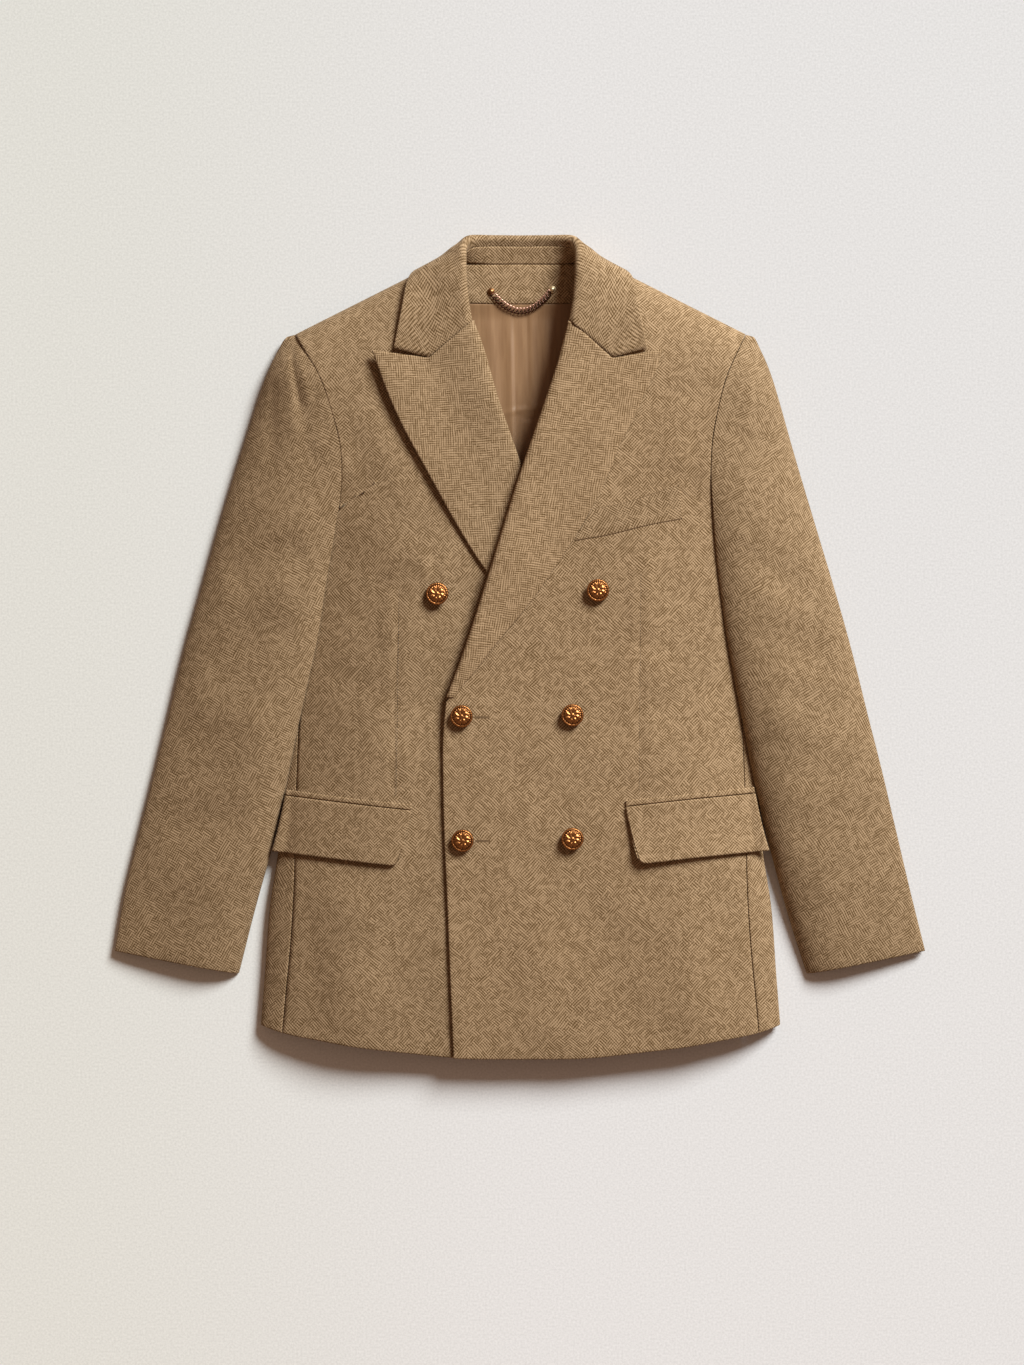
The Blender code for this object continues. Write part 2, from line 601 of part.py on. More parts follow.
def make_lapel(name, side, lift):
    """Rolled round the front's edge at the roll line, and out over the front to the peak."""
    roll = ROLL_OVER if side == LEFT else ROLL_UNDER
    edge = LAPEL_OVER if side == LEFT else LAPEL_UNDER
    climb = np.linspace(0, 1, 15)[:, None]
    roll_y = between(BREAK_Y + 2, GORGE_Y - GORGE_GAP, climb)
    edge_y = between(BREAK_Y + 2, edge["y"][-1] - GORGE_GAP, climb)
    roll_out = curve(roll, "x", roll_y) * side
    edge_out = curve(edge, "x", edge_y) * side
    depth, height = lapel_columns()
    flat = np.array([0.07, 0.16, 0.28, 0.46, 0.64, 0.82, 1.0])[None, :]
    width = np.maximum(edge_out - roll_out, LAPEL_TIP[side])
    rolled_out = roll_out + depth[None, :]
    flat_out = between(roll_out + depth[-1], roll_out + width, flat)
    out = np.concatenate([rolled_out, flat_out], axis=1)
    share = np.clip((out - roll_out) / width, 0, 1)
    y = between(roll_y, edge_y, share)
    gorge_share = (GORGE_CORNER[0] - roll_out[-1, 0]) / width[-1, 0]
    dip = np.minimum(share / gorge_share, (1 - share) / (1 - gorge_share))
    drop = between(GORGE_Y, edge["y"][-1], gorge_share) - GORGE_CORNER[1] + GORGE_GAP / 2
    y = y - drop * dip * climb ** 5
    x = out * side
    bulge = between(0.4, 3.2, ease(climb)) * np.minimum(1, width / 30)
    if side == RIGHT:
        bulge = bulge * (1 - ease((x - front_line(y) + 55) / 50))
    layer = LAYER if side == LEFT else LAYER + 0.5
    across = (out - roll_out) / 34
    bump = bulge * np.exp(-(across - 0.25) ** 2 * 3)
    over = np.concatenate([height[None, :] + 0 * roll_out, layer + 0 * flat_out], axis=1)
    top_side = over > 0
    tip = ease((share - 0.35) / 0.65) * ease((climb - 0.3) / 0.7)
    z = front_height(side)(x, y) + over + np.where(top_side, bump + lift * tip, 0)
    return cloth(name, grid(x, y, z), WOOL_FACING)


def smooth_through(points, steps):
    """Rows of points with more rows between them, on a smooth line through each."""
    count = len(points)
    knots = np.arange(count, dtype=float)
    at = np.linspace(0, count - 1, steps)
    slopes = np.gradient(points, axis=0)
    cell = np.clip(at.astype(int), 0, count - 2)
    t = (at - knots[cell]).reshape((-1,) + (1,) * (points.ndim - 1))
    start = points[cell] * (1 + 2 * t) * (1 - t) ** 2 + slopes[cell] * t * (1 - t) ** 2
    end = points[cell + 1] * t * t * (3 - 2 * t) - slopes[cell + 1] * t * t * (1 - t)
    return start + end


def mirrored(half):
    """Sections of the whole collar from those of its left half, centre back first."""
    other = half[:0:-1] * np.array([-1, 1, 1])
    return np.concatenate([other, half])


def collar_net():
    """Guide points of the collar's left half: sections, guides, xyz."""
    return np.stack([grid(COLLAR[g + "_x"], COLLAR[g + "_y"], COLLAR[g + "_z"])
                     for g in COLLAR_GUIDES], axis=1)


def make_collar_leaf(name):
    """Smooth across its sections, but each end is straight from guide to guide."""
    half = smooth_through(collar_net(), COLLAR_SECTIONS)
    guides = mirrored(half).transpose(1, 0, 2)
    across = smooth_through(guides, (len(COLLAR_GUIDES) - 1) * COLLAR_STEPS + 1)
    for end in (0, -1):
        across[1::COLLAR_STEPS, end] = (guides[1:, end] + guides[:-1, end]) / 2
    return cloth(name, across.transpose(1, 0, 2), WOOL_FACING)


def make_collar_stand(name):
    """From the neckline up to the leaf's inner seam."""
    seam = collar_net()[:, 0]
    foot = grid(STAND["x"], STAND["y"], STAND["z"])
    away = seam - foot
    gap = between(SEAM_GAP, 1.5, ease(np.linspace(0, 2, len(seam))))[:, None]
    top = seam - away / np.linalg.norm(away, axis=1, keepdims=True) * gap
    net = np.stack([foot, between(foot, top, 0.5), top], axis=1)
    return cloth(name, mirrored(smooth_through(net, COLLAR_SECTIONS)), WOOL_FACING)


# ================================================================ inside of the neck
def on_back(x, y, thickness):
    """A layer that lies on the back."""
    return lower_sheet(x, y) + CLOTH / 2 + 0.35 + thickness / 2


def make_neck_facing(name):
    across = np.linspace(-1, 1, 11)[None, :]
    climb = np.linspace(0, 1, 4)[:, None]
    x = FACING_HALF * across + 0 * climb
    y = between(FACING_EDGE_Y + 1.5 * across ** 2, NECK_SEAM_Y, climb)
    return cloth(name, grid(x, y, on_back(x, y, LIGHT_CLOTH)), WOOL_FACING, LIGHT_CLOTH)


def make_back_lining(name):
    """The back's lining as far as the neck shows it, with its centre pleat as a low ridge."""
    across = np.array([-1, -0.62, -0.3, -0.16, -0.05, 0.1, 0.36, 0.66, 1])[None, :]
    climb = 1 - np.linspace(1, 0, 9)[:, None] ** 1.6
    x = between(LINING_HALF_END, LINING_HALF_TOP, climb) * across
    y = between(LINING_END_Y, FACING_EDGE_Y + 1.5 * across ** 2 - SEAM_GAP, climb)
    pleat = 1.6 * np.exp(-((x + 9) / 5) ** 2) * (1 - ease((y - 255) / 30))
    z = on_back(x, y, LINING_CLOTH) + pleat
    return cloth(name, grid(x, y, z), SATIN, LINING_CLOTH)


# ================================================================ pockets
def on_front(side, x, y, over):
    """A layer on a front; past the side fold it stands straight out."""
    limit = curve(BODY, "side", y) - 7
    return front_height(side)(np.minimum(np.abs(x), limit) * side, y) + over


def pocket_end(side, y):
    column = "left" if side == LEFT else "right"
    return curve(SLEEVE_INNER, column, y) - SLEEVE_CLEARANCE


def make_jet(name, side):
    lines = POCKET_LEFT if side == LEFT else POCKET_RIGHT
    along = np.linspace(0, 1, 9)[:, None]
    down = np.linspace(0, 1, 3)[None, :]
    y = between(curve(lines, "jet_top", along, "along"), curve(lines, "jet_low", along, "along"), down)
    out = between(POCKET_FRONT_X[side], pocket_end(side, y), along)
    z = on_front(side, out * side, y, CLOTH / 2 + 0.5 + LIGHT_CLOTH / 2)
    return cloth(name, grid(out * side, y, z), WOOL, LIGHT_CLOTH)


def make_flap(name, side):
    """Hangs from the jet; its front lower corner is rounded and stands off a little."""
    lines = POCKET_LEFT if side == LEFT else POCKET_RIGHT
    along = np.array([0, 0.05, 0.13, 0.25, 0.42, 0.6, 0.78, 1.0])[:, None]
    down = np.array([0, 0.25, 0.5, 0.75, 0.92, 1.0])[None, :]
    corner = 1 - np.sqrt(np.clip(1 - (1 - np.minimum(along * 130 / FLAP_CORNER, 1)) ** 2, 0, 1))
    depth = FLAP_DEPTH[side] - FLAP_CORNER * 0.8 * corner
    y = curve(lines, "jet_low", along, "along") - SEAM_GAP - 0.2 - depth * down
    front = POCKET_FRONT_X[side] + FLAP_SLANT[side] * down ** 1.3
    out = between(front, pocket_end(side, y), along)
    lift = 0.6 + FLAP_LIFT[side] * down ** 2 * (0.35 + 0.65 * (1 - along) ** 3)
    z = on_front(side, out * side, y, LAYER + lift)
    return cloth(name, grid(out * side, y, z), WOOL)


def make_breast_welt(name):
    along = np.linspace(0, 1, 7)[:, None]
    down = np.linspace(0, 1, 4)[None, :]
    top_x = between(WELT_TOP["x"][0], WELT_TOP["x"][-1], along)
    low_x = between(WELT_LOW["x"][0], WELT_LOW["x"][-1], along)
    x = between(top_x, low_x, down)
    y = between(curve(WELT_TOP, "y", top_x, "x"), curve(WELT_LOW, "y", low_x, "x"), down)
    return cloth(name, grid(x, y, upper_sheet(x, y) + CLOTH / 2 + 0.5 + LIGHT_CLOTH / 2), WOOL, LIGHT_CLOTH)


# ================================================================ buttons, rivets, chain
def make_button(name, x, y, seat):
    carrier = under_front if name == "button_top_right" else upper_sheet
    around = BUTTON_RADIUS * BUTTON_PROFILE["radius"][0] * np.array([-1, 0, 1])
    level = carrier(x + around[:, None], y + around[None, :]).max()
    foot = (x, y, float(level) + CLOTH / 2 + seat)
    return turned(name, BUTTON_PROFILE, BUTTON_RADIUS, BUTTON_SIDES, foot, COPPER)


def make_rivet(name, x, y):
    profile = table("radius height", [(1.0, 0.0), (1.0, 0.35), (0.8, 0.6), (0.4, 0.75)])
    foot = (x, y, float(on_back(x, y, LIGHT_CLOTH)) + LIGHT_CLOTH / 2 + 0.3)
    return turned(name, profile, RIVET_RADIUS, 10, foot, COPPER)


def make_chain(name):
    """A flat curb chain from rivet to rivet: the width swells once for each link."""
    rings = CHAIN_LINKS * 2 + 1
    sides = 6
    start = np.array(RIVETS["rivet_right"]) + (2.6, -3.6)
    end = np.array(RIVETS["rivet_left"]) + (-2.6, -3.6)
    t = np.linspace(0, 1, rings)
    x = between(start[0], end[0], t)
    y = between(start[1], end[1], t) - (CHAIN_DIP - 3.6) * (1 - (2 * t - 1) ** 2)
    slope = np.gradient(y, x)
    ahead = 1 / np.hypot(1, slope)
    swell = np.where(np.arange(rings) % 2 == 1, CHAIN_WIDTH, CHAIN_NECK)[:, None]
    angles = (np.arange(sides) * math.tau / sides)[None, :]
    across = swell * np.cos(angles)
    z_line = on_back(x, y, LIGHT_CLOTH) + LIGHT_CLOTH / 2 + 0.4 + CHAIN_HEIGHT
    points = grid(x[:, None] - (slope * ahead)[:, None] * across,
                  y[:, None] + ahead[:, None] * across,
                  z_line[:, None] + CHAIN_HEIGHT * np.sin(angles))
    faces = [tuple(reversed(range(sides))), tuple(range((rings - 1) * sides, rings * sides))]
    for ring in range(rings - 1):
        low = ring * sides
        for k in range(sides):
            after = (k + 1) % sides
            faces.append((low + k, low + after, low + sides + after, low + sides + k))
    return place(name, points.reshape(-1, 3), faces, finish(name, COPPER, 0.35, 1.0))


def main():
    for leftover in list(bpy.data.objects):
        bpy.data.objects.remove(leftover)
    make_back("back_left", LEFT)
    make_back("back_right", RIGHT)
    make_side("side_left", LEFT)
    make_side("side_right", RIGHT)
    make_front("front_over", LEFT)
    make_front("front_under", RIGHT)
    make_top_sleeve("top_sleeve_left", LEFT)
    make_top_sleeve("top_sleeve_right", RIGHT)
    make_under_sleeve("under_sleeve_left", LEFT)
    make_under_sleeve("under_sleeve_right", RIGHT)
    make_lapel("lapel_over", LEFT, 1.5)
    make_lapel("lapel_under", RIGHT, 6.0)
    make_collar_leaf("collar_leaf")
    make_collar_stand("collar_stand")
    make_neck_facing("neck_facing")
    make_back_lining("back_lining")
    make_jet("jet_left", LEFT)
    make_jet("jet_right", RIGHT)
    make_flap("flap_left", LEFT)
    make_flap("flap_right", RIGHT)
    make_breast_welt("breast_welt")
    for name, (x, y, seat) in BUTTONS.items():
        make_button(name, x, y, seat)
    for name, (x, y) in RIVETS.items():
        make_rivet(name, x, y)
    make_chain("hanger_chain")


main()
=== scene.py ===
"""Double breasted blazer of two-tone wool, laid flat: its looks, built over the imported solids.

Shapes are worked out in millimetres. +X is the wearer's left, +Y the collar, +Z up. A piece of
cloth is a grid of points on the middle of its wall, with two surfaces half a thickness off it.
"""
import math

import bpy
import numpy as np
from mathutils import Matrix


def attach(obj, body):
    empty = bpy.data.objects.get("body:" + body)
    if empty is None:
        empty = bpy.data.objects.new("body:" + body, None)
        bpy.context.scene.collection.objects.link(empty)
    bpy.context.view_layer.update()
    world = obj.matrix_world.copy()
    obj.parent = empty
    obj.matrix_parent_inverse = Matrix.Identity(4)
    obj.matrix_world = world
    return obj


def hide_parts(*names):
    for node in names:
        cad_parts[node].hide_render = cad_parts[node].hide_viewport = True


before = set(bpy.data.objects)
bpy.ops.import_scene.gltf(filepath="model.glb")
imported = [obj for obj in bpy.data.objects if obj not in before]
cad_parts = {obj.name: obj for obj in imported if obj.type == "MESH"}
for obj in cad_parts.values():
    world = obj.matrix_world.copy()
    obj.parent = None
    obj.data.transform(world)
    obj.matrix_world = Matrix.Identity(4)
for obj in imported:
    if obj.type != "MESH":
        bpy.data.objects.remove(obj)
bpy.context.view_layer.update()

MM = 0.001
LEFT = 1
RIGHT = -1
SIDE_WORD = {LEFT: "left", RIGHT: "right"}
# the wall's thickness, the gap at a seam, and one layer's rise over the one below it
CLOTH = 2.0
SEAM_GAP = 0.4
LAYER = 2.6
# width over which a cloth's edge is rounded off: in a seam that shows, in one that hides, at a fold
SEWN = 0.45
HIDDEN_SEAM = 0.12
FOLDED = 1.7
# heights of the wall's middle: on the surface, at the body's side fold, and the back's rise
FLOOR_LEVEL = CLOTH / 2
FOLD_LEVEL = 6.5
SHOULDER_BACK_RISE = 3.2
LOWEST = 0.02
# an edge's least share of the full thickness, and the UV map's units to a millimetre of cloth
THINNEST_EDGE = 0.12
UV_PER_MM = 0.01


def table(columns, rows):
    """Rows of numbers as named columns."""
    return {name: np.array(values, float) for name, values in zip(columns.split(), zip(*rows))}


# ================================================================ the cut
# The body lying flat: out to its side fold, height of its upper sheet, and how far in from the
# fold and with what power that sheet rises
BODY = table("y side crown reach power", [
    (-376, 239, 24, 84, 1.7), (-300, 233, 26, 88, 1.65), (-235, 228, 27, 92, 1.6),
    (-190, 221, 28, 94, 1.55), (-150, 217, 28, 94, 1.5), (-105, 214, 28, 94, 1.4),
    (-50, 212, 28, 94, 1.35), (5, 213, 29, 96, 1.35), (50, 217, 30, 100, 1.3),
    (90, 222, 31, 108, 1.3), (125, 240, 31, 112, 1.3), (200, 300, 31.5, 116, 1.3),
    (260, 300, 30.5, 116, 1.3), (300, 300, 29, 116, 1.3), (356, 300, 27, 116, 1.3),
])
HEM = table("out y", [
    (0, -376), (61, -375), (111, -369.7), (156, -364), (178, -360), (220, -352), (239, -346),
])
SIDE_SEAM = table("y out", [
    (-352, 217), (-319, 214), (-272, 209.5), (-224, 206.5), (-150, 205), (-50, 201),
    (40, 194), (114, 183),
])
SEAM_HEM_Y = -351.5
EDGE_HEM_Y = -375.2
SEAM_TOP = {LEFT: 186, RIGHT: 183}
BACK_SEAM_HEM = (150, -372)
BACK_HOLE_Y = np.array([124, 152, 180, 206, 228, 246, 261, 272, 280, 284.0])
# "out" and "right left" are distances from the centre line, without a sign
ARMHOLE = table("y right left", [
    (124, 165.5, 174.5), (152, 162.5, 172.5), (188, 165, 174), (215, 172.5, 179),
    (246, 183.5, 187.5), (265, 194.5, 196), (284, 205.5, 205.5),
])
ARMHOLE_LOW = 124
ARMHOLE_TOP = 284
UNDERARM = (222, 90)
SHOULDER_NECK = (98, 338.5)
SHOULDER_SLOPE = -0.5
SIDE_FOLD_REACH = 13
SHOULDER_REACH = 55
SHOULDER_ROUND = 25
# The back rises under the collar's leaf: from this y over this way up, and out to this distance
# from the centre line over this way
NECK_RISE = (298, 24, 112, 14)
EDGE = table("y out", [
    (-375, 61), (-291, 64.5), (-226, 67), (-168, 69.5), (-123, 70.5), (-86, 70.5), (-53.5, 68),
])
ROLL_OVER = table("y x", [
    (-49, -67), (-13, -53.5), (65, -28), (159, 1.4), (207, 18), (262, 36), (293, 44),
])
ROLL_UNDER = table("y x", [
    (-49, 64), (-13, 52), (65, 28), (159, 1.4), (225, -21.5), (280, -38), (293, -43),
])
NECKLINE = table("y out", [(293, 46.8), (305, 54.5), (320, 61.5), (338, 67), (352.5, 70)])
# the lapels' free edges, from the break up to the peak
LAPEL_OVER = table("y x", [
    (-49, -63.5), (-26, -43.5), (4, -20), (38, 8), (75, 34), (152, 78), (178, 88),
    (203, 101), (229, 113), (250, 123), (269, 129),
])
LAPEL_UNDER = table("y x", [
    (-49, 60.5), (-26, 42), (4, 19), (38, -9), (67, -31), (156, -84), (211, -113), (268, -135),
])
BREAK_Y = -49
GORGE_Y = 293
GORGE_CORNER = (83, 260)
ROLL_RADIUS = 2.6
ROLL_STRIP = 13
SINK_WIDTH = 72
SINK_LOW = 4.0
SINK_HIGH = 8.8
SINK_GROWS_Y = -105
SINK_ENDS_Y = 185
SINK_CHANGE = 60
# at the gorge the collar's leaf overlaps the lapel by a little, at the notch they stand apart
GORGE_GAP = -1.6
NOTCH_GAP = 1.2
LAPEL_TIP = {LEFT: 6, RIGHT: 9}
LAPEL_HALF = 1.15
LAPEL_LAYER = {LEFT: LAYER, RIGHT: LAYER + 0.5}
LAPEL_BULGE = (0.4, 3.2)
LAPEL_LIFT = {LEFT: 1.5, RIGHT: 5.0}
SLEEVE_OUTER = table("y right left", [
    (-279, 371, 370), (-223, 361, 356), (-168, 347.5, 343), (-113, 333.5, 330),
    (-58, 320, 316), (-4, 307, 302.5), (51, 291.5, 287), (106, 276, 270.5),
    (161, 259.5, 254), (216, 242, 238), (243, 233, 230), (258, 227, 224.5),
    (270, 221, 219), (277, 217.5, 216), (282.5, 213, 213),
])
SLEEVE_INNER = table("y right left", [
    (-300, 259, 263), (-247, 245.5, 246), (-215, 237, 238), (-173, 225, 225),
    (-110, 211.5, 211.5), (-50, 198.5, 199.5), (5, 186, 189), (51, 178.5, 182.5),
    (97, 170.5, 177), (120, 166.5, 175),
])
# The sleeve's sections: crown's height, start over the armhole, and bend along the sleeve
SLEEVE = table("inner_y outer_y crown over_arm bend", [
    (284, 282.5, 9, 0, 0), (280, 278, 14, 0.2, 0), (272, 270, 19, 0.3, 0),
    (261, 259, 24, 0.3, -1), (246, 243, 28, 0.3, -3), (228, 223, 31, 0.3, -6),
    (206, 199, 32.5, 0.3, -11), (180, 172, 33.5, 0.4, -18), (152, 145, 34, 1.1, -26),
    (124, 118, 34.5, 2.4, -31.5), (119, 111, 34.5, 0, -30), (100, 92, 34.5, 0, -24),
    (76, 70, 34, 0, -16), (45, 44, 33.5, 0, -8), (8, 14, 32, 0, -3), (-35, -22, 30, 0, 0),
    (-82, -65, 28.5, 0, 0), (-135, -115, 26.5, 0, 0), (-190, -170, 23.5, 0, 0),
    (-245, -224, 19.5, 0, 0), (-300, -279, 15.5, 0, 0),
])
CAP_SECTIONS = 10
ARMHOLE_GAP = {LEFT: SEAM_GAP / 2, RIGHT: -0.1}
SLEEVE_LAYER = 2.4
SIDE_CLIMB = 25
SLEEVE_REACH = 46
SLEEVE_RISE = table("y power", [(-80, 2), (20, 1.6), (100, 1.45), (160, 1.15)])
SLEEVE_FALL = {LEFT: 1.5, RIGHT: 1.65}
SLEEVE_EDGE_RISE = 2.2
SLEEVE_EDGE_REACH = 12
SLEEVE_SEAM_STEP = 2.3
SLEEVE_INNER_STEP = 0.2
SLEEVE_INNER_RISE = 0.5
UNDER_SLEEVE_INSET = 3
UNDER_COLUMNS = np.array([0, 0.08, 0.2, 0.37, 0.57, 0.68, 0.8, 0.92, 1.0])
SLIT_COLUMNS = 4
SLIT_WIDENED = 0.9
# Half the collar from the centre back to the gorge: six guide lines run round the neck, from
# the seam on the stand over the fold to the leaf's edge
COLLAR_GUIDES = ("seam", "nose", "fold", "turn", "leaf", "edge")
COLLAR = table(
    "seam_x seam_y seam_z nose_x nose_y nose_z fold_x fold_y fold_z "
    "turn_x turn_y turn_z leaf_x leaf_y leaf_z edge_x edge_y edge_z", [
        (0, 365, 10.8, 0, 371, 12.6, 0, 374, 10.2, 0, 370, 4, 0, 357, 1.5, 0, 331, 1.2),
        (26, 365, 11.6, 26, 371, 14, 26, 374, 11.6, 28, 370, 4.6, 30, 357, 1.5, 32, 331, 1.2),
        (43, 363.5, 16.5, 44, 369.5, 20.5, 46.5, 373, 17.5, 49.5, 370, 8, 54, 359, 1.7, 60, 332, 1.2),
        (50.2, 357.5, 22, 49.3, 362, 28.5, 52.5, 366.5, 26.5, 58.5, 365.5, 14, 66.5, 358.5, 3.2,
         81, 343, 1.2),
        (52, 349, 24.5, 50, 352, 32, 54.5, 356.5, 33, 63.5, 358.5, 24, 75.5, 353.5, 11, 95, 344, 4.5),
        (51.5, 333, 26.5, 49.7, 334, 34, 54.5, 336, 36.5, 68, 340, 33, 85, 340, 26, 103, 332.5, 21.5),
        (49.5, 314, 28.5, 48, 314, 35, 52.5, 315, 37.5, 65, 315, 36, 82, 306, 34, 107.5, 308, 32.5),
        (46.5, 295, 30.5, 44.5, 293.6, 34.5, 48, 290.3, 37, 60, 280.3, 35.8, 83.3, 260.8, 33.9,
         115, 269.3, 34),
    ])
COLLAR_STRAIGHT = 0.58
FOLD_COLUMN = 20
# the stand's foot, from the centre back to the gorge
STAND = table("x y z", [
    (0, 348.9, 7.4), (27, 348.95, 7.55), (45, 350, 8.5), (57, 350.3, 9.8), (64, 346, 13.5),
    (61.5, 333, 20), (56, 316, 24), (51.5, 302, 25.5),
])
FACING = 1.2
FACING_EDGE_Y = 313
FACING_HALF = 62
LINING_HALF = 0.4
LINING_END_Y = 120
LINING_HALF_TOP = 66
LINING_HALF_END = 58
NECK_SEAM_Y = 349.1
NECK_TOP_Y = 352.3
# y of the jets' two edges at shares of the pocket's length
POCKET = {
    RIGHT: table("along jet_top jet_low", [(0, -144, -149), (0.5, -138, -142.5), (1, -131, -136)]),
    LEFT: table("along jet_top jet_low", [(0, -140, -145.5), (0.5, -134.5, -139), (1, -128.6, -134)]),
}
POCKET_FRONT_X = {RIGHT: 99, LEFT: 95.3}
JET_HALF = 0.75
JET_OVER = CLOTH / 2 + 1.45
FLAP_HALF = 1.1
FLAP_LENGTH = 130
FLAP_DEPTH = {RIGHT: 50.5, LEFT: 52}
FLAP_SLANT = {RIGHT: 12, LEFT: 11}
FLAP_CORNER = 9
FLAP_LIFT = {RIGHT: 1.5, LEFT: 4.0}
SLEEVE_CLEARANCE = 2.2
WELT_TOP = table("x y", [(64, 123.5), (97, 130), (135, 142.5), (144.5, 145)])
WELT_LOW = table("x y", [(49, 95.5), (76, 100), (120, 110.5), (147, 115.5)])
WELT_HALF = 0.35
DARTS = table("x0 y0 x1 y1 width height", [
    (-110, 51, -113, -136, 3.2, -0.7), (109, 65, 107.5, -132, 3.2, -0.7),
])

# Buttons: place, seat over the cloth, and lean in degrees towards a direction
BUTTON_RADIUS = 10.15
BUTTONS = table("x y seat tilt toward", [
    (-75.5, 47, 0.1, 7, 200), (70, 50, 0.35, 8, 150), (-53.5, -64, 0.35, 5, 80),
    (47, -63, 0.35, 8, 150), (-52.6, -176.6, 0.35, 5, 60), (47, -175, 0.35, 8, 170),
])
BUTTON_NAMES = ("button_top_right", "button_top_left", "button_middle_right",
                "button_middle_left", "button_low_right", "button_low_left")
BUTTONHOLES = table("x y", [(-35.5, -64.8), (-35, -177)])
RIVETS = {"rivet_right": (-27, 324), "rivet_left": (29, 326)}
RIVET_RADIUS = 3.2
CHAIN_DIP = 18.5
CHAIN_COUNT = 19
CHAIN_BELOW_RIVET = 2.6
CHAIN_OVER = 2.35
LINK_HALF_WIDTH = 2.15
LINK_LIFT = 0.55
WIRE = 0.46

# ================================================================ the lie of the cloth
# Soft folds of the upper sheets: from (x0, y0) to (x1, y1), half width and height. A fold fades
# over this share of its length, half of it past each end
FOLD_FADE = 0.3
CREASES = table("x0 y0 x1 y1 width height", [
    (-108, 92, -70, 58, 16, 1.6), (-150, 20, -118, 60, 15, -1.2), (118, 82, 112, 10, 13, 1.3),
    (150, 60, 122, -10, 16, -1.1), (-182, -20, -120, -45, 15, -1.2), (178, -30, 120, -60, 15, -1.2),
    (-158, -215, -150, -352, 26, 2.3), (150, -240, 160, -350, 24, 1.5), (20, -230, 10, -360, 30, 1.4),
    (-142, 215, -95, 120, 16, 1.3), (150, 220, 140, 160, 18, 1.2),
    (-82, 88, -74, 62, 5, -0.7), (-90, 80, -86, 58, 4, 0.5), (-68, 80, -70, 60, 4, 0.4),
    (127, 66, 114, -6, 6, -0.6), (104, 70, 100, 20, 7, 0.5), (-118, 50, -122, 0, 7, 0.5),
    (160, 200, 152, 130, 8, -0.7), (-150, 190, -143, 130, 9, -0.7), (60, 30, 20, 10, 10, 0.4),
    (-20, -90, 30, -110, 14, 0.4), (-10, -190, 30, -215, 16, -0.4), (-120, -90, -95, -120, 10, 0.5),
    (130, -85, 100, -120, 11, 0.5), (190, -240, 186, -330, 9, -0.7), (-192, -235, -186, -330, 9, -0.7),
    (70, -235, 90, -320, 15, -0.5), (-90, -230, -100, -330, 16, -0.6),
])
SLEEVE_CREASES = table("side x0 y0 x1 y1 width height", [
    (RIGHT, 217, 262, 203, 190, 8, 1.3), (RIGHT, 228, 250, 226, 165, 7, -1.2),
    (RIGHT, 200, 225, 190, 165, 8, -1.0), (LEFT, 214, 258, 206, 195, 9, 1.1),
    (RIGHT, 200, 92, 262, 62, 17, -2.2), (LEFT, 204, 88, 258, 50, 17, -2.2),
    (RIGHT, 214, 20, 282, -22, 17, -2.0), (LEFT, 210, 12, 286, -10, 18, -2.0),
    (RIGHT, 232, -70, 300, -50, 18, 1.5), (LEFT, 226, -62, 296, -88, 18, 1.5),
    (RIGHT, 252, -150, 322, -168, 20, -1.6), (LEFT, 250, -170, 326, -150, 20, -1.6),
])
# finer puckers of the sleeve heads and arms, laid over the folds
SLEEVE_PUCKERS = table("side x0 y0 x1 y1 width height", [
    (RIGHT, 203, 275, 191, 222, 3.4, 1.4), (RIGHT, 209, 272, 200, 215, 3.0, -1.3),
    (RIGHT, 190, 262, 178, 205, 3.6, 0.6), (RIGHT, 221, 262, 219, 200, 4.2, 0.7),
    (RIGHT, 186, 238, 176, 190, 4.0, -0.5), (LEFT, 204, 274, 196, 225, 4.0, 0.6),
    (LEFT, 216, 264, 210, 205, 4.2, -0.6), (RIGHT, 190, 120, 224, 96, 6, 0.6),
    (LEFT, 190, 110, 222, 84, 6, 0.6), (RIGHT, 212, 60, 250, 30, 7, 0.6),
    (LEFT, 214, 48, 262, 26, 7, 0.6), (RIGHT, 246, -10, 300, -30, 8, 0.6),
    (LEFT, 240, -24, 292, -42, 8, 0.6), (RIGHT, 250, -110, 300, -122, 9, -0.6),
    (LEFT, 246, -120, 300, -114, 9, -0.6), (RIGHT, 280, -205, 340, -222, 9, 0.6),
    (LEFT, 276, -222, 336, -210, 9, 0.6),
])
# slow unevenness of cloth that lies by its own weight: wave length, direction, height, shift
WAVES = table("length angle height shift", [
    (92, 20, 0.20, 0.3), (67, 75, 0.16, 1.9), (118, 130, 0.24, 4.1), (54, 160, 0.10, 2.7),
    (43, 48, 0.08, 5.2),
])


def cubic(start, end, start_slope, end_slope, t):
    """The cubic in t from start to end with the given slopes there (Hermite)."""
    return ((start * (1 + 2 * t) * (1 - t) ** 2 + start_slope * t * (1 - t) ** 2)
            + (end * t * t * (3 - 2 * t) - end_slope * t * t * (1 - t)))


def curve(rows, column, at, key="y"):
    """Smooth line through a table's rows; its slope at a row comes from the rows beside it."""
    knots = rows[key]
    values = rows[column]
    slopes = np.gradient(values, knots)
    at = np.clip(np.asarray(at, float), knots[0], knots[-1])
    cell = np.clip(np.searchsorted(knots, at, side="right") - 1, 0, len(knots) - 2)
    step = knots[cell + 1] - knots[cell]
    t = (at - knots[cell]) / step
    return cubic(values[cell], values[cell + 1], slopes[cell] * step, slopes[cell + 1] * step, t)


def ease(t):
    """Smooth step from 0 to 1."""
    t = np.clip(t, 0, 1)
    return t * t * (3 - 2 * t)


def rounding(depth, reach, power):
    """Share of the full height at a depth in from a fold: upright at the fold, then level."""
    share = np.clip(np.asarray(depth) / reach, 0, 1)
    return (1 - (1 - share) ** power) ** (1 / power)


